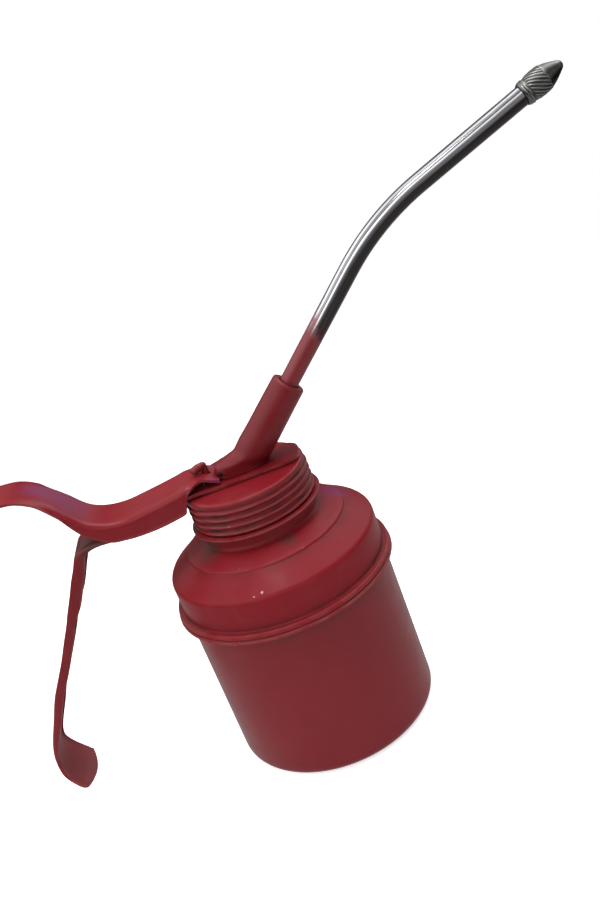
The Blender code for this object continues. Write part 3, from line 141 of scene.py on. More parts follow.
# A new object with this data, put in the scene
def linked(name, data):
    piece = bpy.data.objects.new(name, data)
    bpy.context.scene.collection.objects.link(piece)
    return piece


# An object from points in millimetres and faces
def faced(name, points, faces):
    mesh = bpy.data.meshes.new(name)
    mesh.from_pydata((points * mm).tolist(), [], faces)
    return linked(name, mesh)


# A mesh from a (rows, columns, 3) grid in millimetres, joined round where it is asked
def gridMesh(name, grid, aroundRows=False, aroundColumns=False, capEnds=False):
    rows, columns = grid.shape[:2]
    index = np.arange(rows * columns).reshape(rows, columns)
    if aroundRows:
        index = np.concatenate([index, index[:1]])
    if aroundColumns:
        index = np.concatenate([index, index[:, :1]], axis=1)
    quads = np.stack([index[:-1, :-1], index[:-1, 1:], index[1:, 1:], index[1:, :-1]], axis=-1)
    faces = quads.reshape(-1, 4).tolist()
    if capEnds:
        faces.append(list(range(columns))[::-1])
        faces.append(list(range((rows - 1) * columns, rows * columns)))
    return faced(name, grid.reshape(-1, 3), faces)


# Equal steps once round
def around(count):
    return np.linspace(0, 2 * pi, count, endpoint=False)


# The unit direction of a path at each point, and the same turned by a quarter to its left
def pathAxes(path):
    ahead = np.gradient(path, axis=0)
    ahead /= np.linalg.norm(ahead, axis=1)[:, None]
    return ahead, np.stack([-ahead[:, 1], ahead[:, 0]], axis=1)


# Points at (r cos a, r sin a, z) for each outline point and each angle a
def turnedGrid(outline, count, swell=None):
    angle = around(count)
    r, z = (outline[:, k:k + 1] * np.ones((1, count)) for k in (0, 1))
    if swell is not None:
        r = r + swell(r, z, angle[None, :])
    return np.stack([r * np.cos(angle), r * np.sin(angle), z], axis=-1)


# Circles of the given radii on a path in the XZ plane, each square to the path
def sweptGrid(path, radius, count):
    _, side = pathAxes(path)
    angle = around(count)
    radius = (radius * np.ones(len(path)))[:, None]
    x, z = (path[:, k:k + 1] + side[:, k:k + 1] * radius * np.cos(angle) for k in (0, 1))
    return np.stack([x, radius * np.sin(angle), z], axis=-1)


# A channel's outer face: at each station a flat, a bend and a straight flange on both sides.
# The bend keeps its length as the fold opens: its radius is that length over the angle.
# Depth is measured straight down, or square to the path where square is true.
def foldedSheet(stations, bend, square, samples):
    x, z, half, lip, fold, bow = stations.T
    angle = np.radians(np.maximum(fold, 0.01))[:, None]
    length = bend * pi / 2
    share = np.linspace(0, 1, samples[1])[None, :]
    bendOut = length / angle * np.sin(angle * share)
    bendDown = length / angle * (1 - np.cos(angle * share))
    along = np.linspace(0, 1, samples[2] + 1)[None, 1:]
    run = lip[:, None] * along
    lipOut = bendOut[:, -1:] + run * np.cos(angle)
    lipDown = bendDown[:, -1:] + run * np.sin(angle)
    flat = (half - lipOut[:, -1])[:, None]
    flatOut = flat * np.linspace(0, 1, samples[0] + 1)[None, :-1]
    out = np.concatenate([flatOut, flat + bendOut, flat + lipOut], axis=1)
    down = np.concatenate([flatOut * 0, bendDown, lipDown], axis=1)
    path = np.stack([x, z], axis=1)
    ahead, left = pathAxes(path)
    inward = left if square else np.array([[0.0, -1.0]])
    lag = bow[:, None] * (out / half[:, None]) ** 2
    spot = path[:, None, :] + inward[:, None, :] * down[..., None] - ahead[:, None, :] * lag[..., None]
    near = np.stack([spot[..., 0], -out, spot[..., 1]], axis=-1)[:, :0:-1]
    far = np.stack([spot[..., 0], out, spot[..., 1]], axis=-1)
    return np.concatenate([near, far], axis=1)


# Finishing of meshes

# Apply the modifiers, so that what follows works on the real mesh
def bake(piece):
    bpy.context.view_layer.update()
    graph = bpy.context.evaluated_depsgraph_get()
    mesh = bpy.data.meshes.new_from_object(piece.evaluated_get(graph))
    old = piece.data
    piece.modifiers.clear()
    piece.data = mesh
    bpy.data.meshes.remove(old)
    return piece


mergeDistance = 0.002 * mm


# Merge doubles and turn the faces outwards, which is where the signed volume is positive
def closedUp(piece):
    work = bmesh.new()
    work.from_mesh(piece.data)
    bmesh.ops.remove_doubles(work, verts=work.verts, dist=mergeDistance)
    bmesh.ops.dissolve_degenerate(work, edges=work.edges, dist=mergeDistance / 4)
    bmesh.ops.recalc_face_normals(work, faces=work.faces)
    if work.calc_volume(signed=True) < 0:
        bmesh.ops.reverse_faces(work, faces=work.faces)
    work.to_mesh(piece.data)
    work.free()
    return piece


# A closed solid from a grid that runs round its columns
def solid(name, grid, **ends):
    return closedUp(gridMesh(name, grid, aroundColumns=True, **ends))


# A pressed sheet from rows of stations: smoothed, folded into a channel, given its thickness
# inwards and its edges broken
def pressed(name, s, rows, square):
    rows = smoothRows(rows, s.rows)
    rows = np.concatenate([relaxed(rows[:, :2], s.reaches[0]), relaxed(rows[:, 2:], s.reaches[1])], axis=1)
    rows[:, 5] *= np.sign(np.arange(len(rows)) - len(rows) / 2)   # each end bows away from the middle
    piece = gridMesh(name, foldedSheet(rows, s.bend, square, s.samples))
    wall = piece.modifiers.new("wall", "SOLIDIFY")
    wall.thickness = s.sheet * mm
    wall.offset = -1.0
    wall.use_even_offset = True
    soft = piece.modifiers.new("edges", "BEVEL")
    soft.width = s.edge * mm
    soft.segments = 2
    soft.limit_method = "ANGLE"
    soft.angle_limit = radians(50)
    return closedUp(bake(piece))


# Cut other solids away from the piece, or join them to it, and take them out of the scene
def combined(piece, operation, others):
    for other in others:
        step = piece.modifiers.new(operation.lower(), "BOOLEAN")
        step.operation = operation
        step.solver = "MANIFOLD"
        step.object = other
    bake(piece)
    for other in others:
        bpy.data.objects.remove(other)
    return piece


# The piece less the cutters
def cutAway(piece, *cutters):
    return combined(piece, "DIFFERENCE", cutters)


# The piece and the others in one
def addOn(piece, *others):
    return combined(piece, "UNION", others)


# A closed straight bar between two points in millimetres, its Z turned along the line between them
def roundBar(name, start, end, radius, sides=40):
    start, end = Vector(start), Vector(end)
    turn = Vector((0, 0, 1)).rotation_difference(end - start).to_matrix().to_4x4()
    place = Matrix.Translation((start + end) / 2 * mm) @ turn
    work = bmesh.new()
    bmesh.ops.create_cone(work, cap_ends=True, segments=sides, radius1=radius * mm, radius2=radius * mm,
                          depth=(end - start).length * mm, matrix=place)
    mesh = bpy.data.meshes.new(name)
    work.to_mesh(mesh)
    work.free()
    return linked(name, mesh)


# A closed box between two corners in millimetres
def block(name, low, high):
    corners = np.where(np.indices((2, 2, 2)).reshape(3, -1).T, high, low)
    faces = [(0, 1, 3, 2), (4, 6, 7, 5), (0, 4, 5, 1), (2, 3, 7, 6), (0, 2, 6, 4), (1, 5, 7, 3)]
    return faced(name, corners, faces)


# The curvatures, in 1/m, between which each mark grows from 0 to 1, and its sign on a bulge
# Bulging edges get wear and a painted highlight, dips get painted shade
edgeMarks = {"edgeWearAndHighlight": (180, 900, 1), "hollowness": (60, 420, -1)}
markSpread = 0.6   # share of a vertex's mark that its neighbours take over


# One (x, y, z) row for each vertex
def vertexRows(mesh, key):
    values = np.empty(len(mesh.vertices) * 3)
    mesh.vertices.foreach_get(key, values)
    return values.reshape(-1, 3)


# Store how sharply the surface bulges or dips at each vertex: bulges for wear and painted highlights, dips
# for painted shade.
# The value is the mean, over the edges that leave a vertex, of twice the drop below
# its tangent plane divided by the edge's length squared, which is the curvature.
def markEdges(mesh):
    place, normal = vertexRows(mesh, "co"), vertexRows(mesh, "normal")
    ends = np.empty(len(mesh.edges) * 2, int)
    mesh.edges.foreach_get("vertices", ends)
    a, b = ends.reshape(-1, 2).T
    step = place[b] - place[a]
    square = np.maximum((step ** 2).sum(1), 1e-12)
    total, number = np.zeros(len(place)), np.zeros(len(place))
    for end, twice in ((a, -2), (b, 2)):
        np.add.at(total, end, twice * (step * normal[end]).sum(1) / square)
        np.add.at(number, end, 1)
    curvature = total / np.maximum(number, 1)
    for name, (low, high, sign) in edgeMarks.items():
        value = np.clip((curvature * sign - low) / (high - low), 0, 1)
        spread = value.copy()
        np.maximum.at(spread, a, value[b] * markSpread)
        np.maximum.at(spread, b, value[a] * markSpread)
        layer = mesh.attributes.new(name, "FLOAT", "POINT")
        layer.data.foreach_set("value", spread.astype(np.float32))


# Shade, paint and hand the finished piece to its body
def dress(piece, material, body, slot, *nodes, angle=32):
    mesh = piece.data
    mesh.materials.clear()
    mesh.materials.append(material)
    mesh.polygons.foreach_set("material_index", np.zeros(len(mesh.polygons), np.int32))
    mesh.shade_smooth()
    mesh.set_sharp_from_angle(angle=radians(angle))
    markEdges(mesh)
    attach(piece, body)
    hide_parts(*nodes)


# Materials

# Sockets are linked to the node's inputs, plain values are set on them
def wire(node, sockets):
    for key, value in sockets.items():
        if isinstance(value, bpy.types.NodeSocket):
            node.id_data.links.new(value, node.inputs[key])
        else:
            node.inputs[key].default_value = value


# The outputs of a new node in the tree of the given node or socket
def addNode(beside, kind, sockets=None, **options):
    node = beside.id_data.nodes.new("ShaderNode" + kind)
    for key, value in options.items():
        setattr(node, key, value)
    wire(node, sockets or {})
    return node.outputs


# A material, its shader and the object's own coordinates
def newMaterial(name, roughness, metallic=0.0):
    material = bpy.data.materials.new(name)
    material.use_nodes = True
    shader = material.node_tree.nodes["Principled BSDF"]
    wire(shader, {"Roughness": roughness, "Metallic": metallic})
    return material, shader, addNode(shader, "TexCoord")["Object"]


# A value that the mesh stores at its vertices
def stored(beside, name):
    return addNode(beside, "Attribute", attribute_name=name)["Fac"]


# Clouded noise about 0.5 that repeats about scale times in a metre
def noise(place, scale, detail):
    sockets = {"Vector": place, "Scale": scale, "Detail": detail, "Roughness": 0.55}
    return addNode(place, "TexNoise", sockets)["Fac"]


# From outLow to outHigh along 3 t^2 - 2 t^3, where t is the share of the way from low to high
def ramp(value, low, high, outLow=0.0, outHigh=1.0):
    sockets = {"Value": value, "From Min": low, "From Max": high, "To Min": outLow, "To Max": outHigh}
    return addNode(value, "MapRange", sockets, interpolation_type="SMOOTHSTEP")["Result"]


# One step of arithmetic, where at least one of the values is a socket
def maths(operation, *values):
    beside = next(value for value in values if isinstance(value, bpy.types.NodeSocket))
    return addNode(beside, "Math", dict(enumerate(values)), operation=operation)[0]


# a b
def times(a, b):
    return maths("MULTIPLY", a, b)


# first (1 - share) + second share; 6 and 7 are the node's colour inputs, 2 its colour output
def mixed(share, first, second):
    ends = [end if isinstance(end, bpy.types.NodeSocket) else (*end, 1.0) for end in (first, second)]
    return addNode(share, "Mix", {0: share, 6: ends[0], 7: ends[1]}, data_type="RGBA")[2]


# 1 within a ragged radius of a spot in millimetres, 0 outside it: the distance is divided by
# radius (0.5 + noise) and ramped between the two edges
def near(place, spot, radius, rough, edge=(1.1, 0.8)):
    away = addNode(place, "VectorMath", {0: place, 1: tuple(v * mm for v in spot)}, operation="DISTANCE")
    reach = maths("MULTIPLY_ADD", noise(place, rough, 2.0), radius * mm, radius * mm * 0.5)
    return ramp(maths("DIVIDE", away["Value"], reach), *edge)


# Chain bumps of (height socket, depth in millimetres)
def bumpOn(shader, heights):
    bump = {}
    for height, depth in heights:
        bump = {**bump, "Height": height, "Distance": depth * mm, "Strength": 1.0}
        bump = {"Normal": addNode(shader, "Bump", bump)["Normal"]}
    wire(shader, bump)


cloudRange = (0.3, 0.7)   # noise at which a cloud is all dark and all light
paintLook = settings(
    deep=(0.166, 0.0066, 0.0112),
    fresh=(0.184, 0.0074, 0.0126),
    # Pale red for rubbed spots, and on edges also a painted highlight
    rubbedAndHighlight=(0.26, 0.048, 0.046),
    primer=(0.56, 0.33, 0.29),
    # Dark red painted shade for hollows and creases
    hollowShade=(0.036, 0.01, 0.01),
    # Purple painted sheen, a painted reflection at given spots
    paintedSheen=(0.185, 0.026, 0.085),
    # Dark brown for patches at given spots
    darkPatch=(0.072, 0.027, 0.022),
    # Scale and detail of the noises, then the noise at which each effect starts and is full
    drift=(38.0, 3.0), cloud=(140.0, 4.0), grain=(900.0, 2.0), ripple=(60.0, 2.0), flakes=(420.0, 3.0),
    driftRange=(0.2, 0.8), rubRange=(0.45, 0.75), wornRange=(0.3, 0.62), dirtyRange=(0.35, 0.7),
    flakeRange=(0.72, 0.76), glossRange=(0.25, 0.75),
    rub=0.05, leastWorn=0.1, mostWorn=0.45, leastDirty=0.2, mostDirty=0.65,
    spotRagged=90.0, spotFade=(1.3, 0.15), spotShare=0.76, chipRagged=2400.0,
    glossSwing=(-0.04, 0.05), grainDepth=0.008, rippleDepth=0.05, chipDepth=-0.05,
)


# Satin stove paint: two reds drifting into each other, edges pale from wear and painted highlight,
# painted shade in corners, chipped, painted purple sheen and dark patches at given spots, fine ripple
def redPaint(name, chips=(), paintedSheens=(), darkPatches=(), shade=1.0, shine=0.3, roughness=0.38, wearAndHighlight=1.0, hollowShade=1.0):
    look = paintLook
    deep, fresh = (tuple(v * shade for v in look[k]) for k in ("deep", "fresh"))
    material, shader, place = newMaterial(name, roughness)
    drift, cloud, grain, ripple, flakes = (
        noise(place, *look[k]) for k in ("drift", "cloud", "grain", "ripple", "flakes"))
    edge, dip = stored(place, "edgeWearAndHighlight"), stored(place, "hollowness")
    rub = times(ramp(cloud, *look.rubRange), look.rub * wearAndHighlight)
    # Pale edges: wear, and a painted highlight on the crests
    wornAndLit = ramp(cloud, *look.wornRange, look.leastWorn, look.mostWorn * wearAndHighlight)
    # Painted shade in hollows and creases, such as the cap's valleys
    hollowShadeAmount = ramp(cloud, *look.dirtyRange, look.leastDirty, look.mostDirty * hollowShade)
    coats = [(rub, "rubbedAndHighlight"), (times(edge, wornAndLit), "rubbedAndHighlight"), (times(dip, hollowShadeAmount), "hollowShade")]
    # Painted purple sheen and dark brown patches at given spots
    for kind, spots in (("paintedSheen", paintedSheens), ("darkPatch", darkPatches)):
        for spot, radius in spots:
            share = near(place, spot, radius, look.spotRagged, look.spotFade)
            coats.append((times(share, look.spotShare), kind))
    bare = times(edge, ramp(flakes, *look.flakeRange))
    for spot, radius in chips:
        bare = maths("MAXIMUM", bare, near(place, spot, radius, look.chipRagged))
    colour = mixed(ramp(drift, *look.driftRange), deep, fresh)
    for share, coat in (*coats, (bare, "primer")):
        colour = mixed(share, colour, look[coat])
    gloss = ramp(cloud, *look.glossRange, *(roughness + swing for swing in look.glossSwing))
    wire(shader, {"Base Color": colour, "Roughness": gloss, "Specular IOR Level": shine})
    bumpOn(shader, ((grain, look.grainDepth), (ripple, look.rippleDepth), (bare, look.chipDepth)))
    return material


# Colour clouded between dark and light, and the noise that clouds it
def clouded(place, scale, dark, light):
    cloud = noise(place, scale, 4.0)
    return mixed(ramp(cloud, *cloudRange), dark, light), cloud


metalLook = settings(cloud=300.0, grain=1800.0, depth=0.01, gloss=(0.8, 1.25))


# Plain metal with clouded brightness and a fine grain
def metalFinish(name, dark, light, roughness):
    look = metalLook
    material, shader, place = newMaterial(name, roughness, 1.0)
    colour, cloud = clouded(place, look.cloud, dark, light)
    gloss = ramp(cloud, *cloudRange, *(roughness * share for share in look.gloss))
    wire(shader, {"Base Color": colour, "Roughness": gloss})
    bumpOn(shader, ((noise(place, look.grain, 2.0), look.depth),))
    return material


# Rubber and leather: clouded colour and a pebbled skin, five pebbles to a cloud
def softFinish(name, dark, light, roughness, scale, depth):
    material, shader, place = newMaterial(name, roughness)
    wire(shader, {"Base Color": clouded(place, scale, dark, light)[0]})
    pebble = addNode(place, "TexVoronoi", {"Vector": place, "Scale": scale * 5})["Distance"]
    bumpOn(shader, ((pebble, depth),))
    return material


tubeLook = settings(
    # Painted highlight colour for the bright streaks
    bright=(0.76, 0.76, 0.8),
    dull=(0.2, 0.195, 0.205),
    # Painted shade colour for the underside and the dark streaks
    under=(0.05, 0.043, 0.043),
    tarnish=(0.12, 0.085, 0.072),
    cloud=(160.0, 4.0), wander=(45.0, 2.0), spots=(520.0, 3.0), grain=(700.0, 3.0),
    shadeRange=(0.36, 0.66),   # where round the tube dull turns to under
    # Streaks are painted reflections along the tube: bright ones painted highlight, dark ones painted shade
    streaks=((0.03, 0.08, 0.8), (0.17, 0.19, -0.6), (0.215, 0.27, 0.85), (0.34, 0.37, -0.45)),
    streakFade=0.02, streakCore=0.35, streakWander=0.06,
    spotRange=(0.64, 0.72), spotShare=0.5,
    paintEnd=(53.0, 42.0), paintRagged=14.0,   # where the plating gives way to paint, along X
    chip=((32.0, -2.7, 152.8), 0.38, 2600.0),
    metalRange=(0.25, 0.85), roughness=0.14, paintRoughness=0.34, cloudRoughness=0.1,
    grainDepth=0.005, cloudDepth=0.02,
)


# Worn plating with painted reflection streaks, painted light on top, painted shade underneath,
# and paint over the lower end. The stored attribute runs from 0 on top of the tube to 1
# underneath. A streak is its start and end along that and its strength, which is negative for a dark one.
def platedTube(name):
    look = tubeLook
    material, shader, place = newMaterial(name, look.roughness)
    cloud, wander, spots, grain = (
        noise(place, *look[k]) for k in ("cloud", "wander", "spots", "grain"))
    across = addNode(place, "SeparateXYZ", {"Vector": place})["X"]
    ragged = maths("MULTIPLY_ADD", cloud, -look.paintRagged * mm, look.paintRagged / 2 * mm)
    paint = ramp(maths("ADD", across, ragged), *(x * mm for x in look.paintEnd))
    centred = maths("SUBTRACT", stored(place, "topToUnderside"), look.streakWander / 2)
    wavy = maths("MULTIPLY_ADD", wander, look.streakWander, centred)
    # Painted shade: the plating darkens towards the underside
    chrome = mixed(ramp(wavy, *look.shadeRange), look.dull, look.under)
    # Painted reflection streaks along the tube
    for start, end, strength in look.streaks:
        middle, half = (start + end) / 2, (end - start) / 2 + look.streakFade
        away = maths("ABSOLUTE", maths("SUBTRACT", wavy, middle))
        share = times(ramp(away, half, half * look.streakCore), abs(strength))
        chrome = mixed(share, chrome, look.bright if strength > 0 else look.under)
    dull = times(ramp(spots, *look.spotRange), look.spotShare)
    chrome = mixed(dull, chrome, look.tarnish)
    red = mixed(ramp(cloud, *cloudRange), paintLook.deep, paintLook.fresh)
    red = mixed(near(place, *look.chip), red, paintLook.primer)
    gloss = ramp(paint, 0.0, 1.0, look.roughness, look.paintRoughness)
    wire(shader, {
        "Base Color": mixed(paint, chrome, red),
        "Metallic": ramp(paint, *look.metalRange, 1.0, 0.0),
        "Roughness": maths("MULTIPLY_ADD", cloud, look.cloudRoughness, gloss),
    })
    bumpOn(shader, ((grain, look.grainDepth), (cloud, look.cloudDepth)))
    return material


nozzleLook = settings(
    dark=(0.07, 0.073, 0.066), light=(0.132, 0.135, 0.122),
    # Painted highlight on the flute crests, painted shade in the flutes
    crest=(0.5, 0.5, 0.48), crestShare=0.4,
    flute=(0.03, 0.03, 0.027), fluteShare=0.8,
    cloud=420.0, grain=2200.0, grainDepth=0.008, roughness=0.34, gloss=(0.24, 0.38),
)


# Dull plated zinc, with painted shade in the flutes and painted highlights on their crests
def nozzleFinish(name):
    look = nozzleLook
    material, shader, place = newMaterial(name, look.roughness, 1.0)
    colour, cloud = clouded(place, look.cloud, look.dark, look.light)
    # Painted highlight on the crests and painted shade in the flutes
    colour = mixed(times(stored(place, "edgeWearAndHighlight"), look.crestShare), colour, look.crest)
    colour = mixed(times(stored(place, "hollowness"), look.fluteShare), colour, look.flute)
    wire(shader, {"Base Color": colour, "Roughness": ramp(cloud, *cloudRange, *look.gloss)})
    bumpOn(shader, ((noise(place, look.grain, 2.0), look.grainDepth),))
    return material


# Chips, painted purple sheens and dark patches are a place and a radius in millimetres. The pale edges are
# partly painted highlight, the darkened hollows are painted shade.
paintedPieces = settings(
    canPaint=settings(
        chips=(((19.9, -37.3, 62.1), 0.2), ((27.8, -31.3, 37.4), 0.17)),
        shine=0.31, roughness=0.34,
    ),
    shoulderPaint=settings(
        chips=(((-6.6, -40.9, 88.5), 0.55), ((-10.0, -41.0, 88.0), 0.34), ((-22.2, -42.0, 70.5), 0.35)),
        # Painted purple sheen on the cone's far right
        paintedSheens=(((31.0, 8.0, 95.0), 8.0),),
        # Dark brown patches on the neck under the cap's lip
        darkPatches=(((-23.0, -12.0, 98.6), 7.5), ((9.0, -26.0, 98.6), 4.0)),
        shade=1.15, shine=0.14, roughness=0.38, wearAndHighlight=1.9,
    ),
    capPaint=settings(
        chips=(((6.2, -23.9, 119.3), 0.13), ((-6.8, -24.0, 119.1), 0.12)),
        shade=1.05, shine=0.2, roughness=0.33, hollowShade=1.5, wearAndHighlight=1.5,
    ),
    leverPaint=settings(
        # Painted purple sheen on the lever's slope and on the tongue beside the rod
        paintedSheens=(((-70.0, 4.0, 134.0), 12.0), ((-76.0, 2.0, 141.0), 9.0),
                  ((-10.4, -7.5, 124.0), 3.4), ((-10.4, 7.5, 124.0), 3.4)),
        shade=1.15, shine=0.24, roughness=0.3, wearAndHighlight=2.0,
    ),
    handlePaint=settings(darkPatches=(((-66.0, -8.0, 116.0), 7.0),), shade=0.9, wearAndHighlight=1.3),
    socketPaint=settings(shade=0.85, shine=0.26),
    rodPaint=settings(wearAndHighlight=1.2),
)
paints = settings({name: redPaint(name, **look) for name, look in paintedPieces.items()})
tubeFinish = platedTube("platedTube")
nozzleMetal = nozzleFinish("nozzleMetal")
print("materials made")


# Can

canSizes = settings(
    radius=43.0, sheet=0.8, corner=4.35, around=256,
    recess=0.5, ledge=38.0, ledgeSlope=1.0, ledgeRound=1.2,
    seam=70.15, seamGap=0.3, rim=45.3, rimHigh=1.4, rimRound=0.3, neckRound=0.4,
)


# A cup turned from one outline: recessed base, ledge, wall and an outward rim under the seam
def makeCan():
    s = canSizes
    inner = s.radius - s.sheet
    flange = s.seam + s.sheet + s.seamGap
    outer = roundedOutline((
        (0.0, s.recess, 0.0),
        (s.ledge - s.ledgeSlope, s.recess, s.ledgeRound),
        (s.ledge, 0.0, s.ledgeRound),
        (s.radius, 0.0, s.corner),
        (s.radius, flange, s.neckRound),
        (s.rim, flange, s.rimRound),
        (s.rim, flange + s.rimHigh, s.rimRound),
        (inner, flange + s.rimHigh, s.rimRound),
        (inner, s.sheet + s.recess, s.corner - s.sheet),
        (0.0, s.sheet + s.recess, 0.0),
    ), 9)
    return solid("can", turnedGrid(denser(outer, 3.0), s.around))


dress(makeCan(), paints.canPaint, "can", "red_paint", "can_body")

shoulderSizes = settings(
    around=256, top=(23.0, 117.0, 0.0),
    outer=(
        (23.4, 117.0, 0.25), (23.4, 98.76, 2.4), (33.1, 94.7, 1.3), (33.6, 93.85, 0.6),
        (43.55, 86.99, 2.7), (43.55, 74.2, 0.9), (45.95, 73.75, 0.9), (45.95, 72.35, 0.5),
        (45.55, 71.75, 0.4), (46.4, 71.2, 0.5), (46.4, 70.15, 0.45), (43.3, 70.15, 0.1),
    ),
    inner=(
        (43.3, 70.95, 0.1), (45.6, 70.95, 0.1), (45.5, 73.1, 0.2), (42.75, 73.1, 0.4),
        (42.75, 86.6, 2.0), (32.9, 93.4, 1.2), (32.4, 94.15, 1.2), (22.6, 98.25, 1.6), (22.6, 117.0, 0.2),
    ),
)


# A closed outline turned round: seam, wall, cone and neck, outside and inside
def makeShoulder():
    s = shoulderSizes
    outline = roundedOutline((s.top, *s.outer, *s.inner, s.top), 9)[:-1]
    return solid("shoulder", turnedGrid(denser(outline, 2.5, closed=True), s.around), aroundRows=True)


dress(makeShoulder(), paints.shoulderPaint, "can", "red_paint", "can_shoulder")
print("can made")


# Cap

capSizes = settings(
    top=119.52, sheet=0.7, band=25.0, edge=1.25, around=256,
    firstCrest=115.7, pitch=3.03, crests=4, mean=25.1, swell=0.45, bandEnd=0.6,
    lipTop=105.1, lipLow=104.0, lip=27.3, lipSlope=0.2, lipRound=0.5, innerRound=0.2,
    holes=((-13.4, 3.5), (3.0, 3.7)),
)


# The ridges are radius = mean + swell (cos t + 0.18 cos 2t - 0.09), where t turns once a pitch
def makeCap():
    s = capSizes
    low = s.firstCrest - s.pitch * (s.crests - 0.5)
    z = np.linspace(s.firstCrest + s.pitch / 2, low, 18 * s.crests + 1)
    turn = 2 * pi * (z - s.firstCrest) / s.pitch
    ridges = np.stack([s.mean + s.swell * (np.cos(turn) + 0.18 * np.cos(2 * turn) - 0.09), z], axis=1)
    band = s.band
    crown = roundedOutline(((0.0, s.top, 0.0), (band, s.top, s.edge), (band, z[0] + s.bandEnd, 0.0)), 9)
    inside, last = s.mean - s.swell - s.sheet, ridges[-1, 0]
    skirt = roundedOutline((
        (last, z[-1], 0.0),
        (last, s.lipTop + s.lipSlope, s.lipRound),
        (s.lip - 0.3, s.lipTop - s.lipSlope, s.lipRound),
        (s.lip + 0.05, s.lipLow + 0.1, s.lipRound),
        (inside, s.lipLow, s.innerRound),
        (inside, s.top - s.sheet, s.lipRound),
        (0.0, s.top - s.sheet, 0.0),
    ), 7)
    grid = turnedGrid(denser(np.concatenate([crown, ridges, skirt[1:]]), 2.0), s.around)
    cap = solid("screwCap", grid)
    return cutAway(cap, *(roundBar("capHole", (x, 0, s.top - 3), (x, 0, s.top + 3), r) for x, r in s.holes))


dress(makeCap(), paints.capPaint, "head", "red_paint", "cap")
print("cap made")


# Handle

handleSizes = settings(
    sheet=1.4, edge=0.3, bend=2.0, rows=460, samples=(9, 9, 6), reaches=(1.6, 3.0),
    holes=((-13.4, 3.5), (3.0, 3.7)), holeEnds=(118, 124), plateTop=121.22, lip=0.5, half=9.2,
    plate=(   # across, half width, bow of the rounded end
        (24.2, 5.6, 0.8), (23.8, 7.4, 1.1), (23.0, 8.5, 1.2), (21.6, 9.1, 0.9), (19.4, 9.2, 0.4),
        (13.3, 9.2, 0), (2.4, 9.2, 0), (-12.0, 9.2, 0), (-26.5, 9.2, 0),
    ),
    jog=((-28.1, 120.71), (-30.5, 118.75), (-32.9, 116.78)),   # across, up
    joggleEnd=-34.5, reach=85.3, run=116.27, drop=104.87,
    shares=(   # of the reach, of the drop, flange, fold in degrees, half width where it differs
        (0, 0, 0.5, 20), (0.065, 0.002, 0.5, 60), (0.18, 0, 0.5, 60),
        (0.275, -0.006, 0.5, 60), (0.35, -0.009, 0.5, 70), (0.395, -0.006, 1, 80),
        (0.432, 0.004, 1.9, 90), (0.458, 0.024, 2.4, 90), (0.482, 0.059, 2.8, 90),
        (0.524, 0.115, 3.1, 90), (0.548, 0.15, 3.2, 90), (0.58, 0.196, 3.1, 90),
        (0.612, 0.24, 2.2, 90), (0.64, 0.282, 1.2, 90), (0.672, 0.325, 2.1, 90),
        (0.702, 0.366, 2.1, 90), (0.791, 0.484, 1.8, 90), (0.856, 0.564, 1.8, 90), (0.908, 0.648, 1.6, 88),
        (0.972, 0.753, 0.9, 75, 9.3), (0.997, 0.812, 0.5, 55, 10), (1, 0.85, 0.5, 30, 11.2),
        (0.984, 0.895, 0.5, 10, 12.5),
    ),
    paddle=(   # of the reach, of the drop, half width, bow
        (0.94, 0.95, 13.2, 0), (0.908, 0.978, 13.2, 1.6), (0.882, 0.995, 13, 2.6), (0.876, 1, 12.5, 2.8),
    ),
)


# A flat plate on the cap, a jog, and a channel that runs out, down and into a flared paddle.
# The shares are of the reach back and of the drop down from the jog's end.
def makeHandle():
    s = handleSizes

    def station(out, down, *section):
        return (s.joggleEnd - s.reach * out, s.run - s.drop * down, *section)

    rows = [(x, s.plateTop, half, s.lip, 0, bow) for x, half, bow in s.plate]
    rows += [(x, z, s.half, s.lip, 0, 0) for x, z in s.jog]
    rows += [station(out, down, *(half or [s.half]), lip, fold, 0)
             for out, down, lip, fold, *half in s.shares]
    rows += [station(out, down, half, s.lip, 0, bow) for out, down, half, bow in s.paddle]
    sheet = pressed("handle", s, rows, True)
    low, high = s.holeEnds
    return cutAway(sheet, *(roundBar("strapHole", (x, 0, low), (x, 0, high), r) for x, r in s.holes))


dress(makeHandle(), paints.handlePaint, "head", "red_paint", "handle_strap")
print("handle made")


# Spout socket: a boss that runs into the leaning barrel

socketSizes = settings(
    lean=42.9, base=(1.1, 121.22), length=39.1, low=7.2, top=6.6, rim=0.7,
    foot=121.52, underGap=0.3, back=-9.7, half=5.9, lugTop=126.42, lugCorner=0.6,
    lugSlope=((0.5, 1.22), (0.7, 1.84)), joinDepth=1.225, joinShare=0.75,
    boss=((1.0, 3.0), (1.02, 3.0), (1.04, 2.9), (1.08, 2.6), (1.12, 2.3)),   # growth and squareness
    bossStep=0.5, bossLead=3.0, barrel=(0.0, 0.12, 0.3, 0.6, 1.0), easing=5.0,
    seatRadius=4.05, seatDepth=10.0, chamfer=0.3, around=96, rows=110,
    slot=(-11.7, -6.0, 1.95, 125.82), pin=(-8.0, 123.87, 1.1), pinReach=9,
)


# Point on the spout's axis plane: along the axis, and out square to it
def leaning(along, out):
    s = socketSizes
    a = radians(s.lean)
    x = s.base[0] + along * cos(a) - out * sin(a)
    return np.array([x, s.base[1] + along * sin(a) + out * cos(a)])


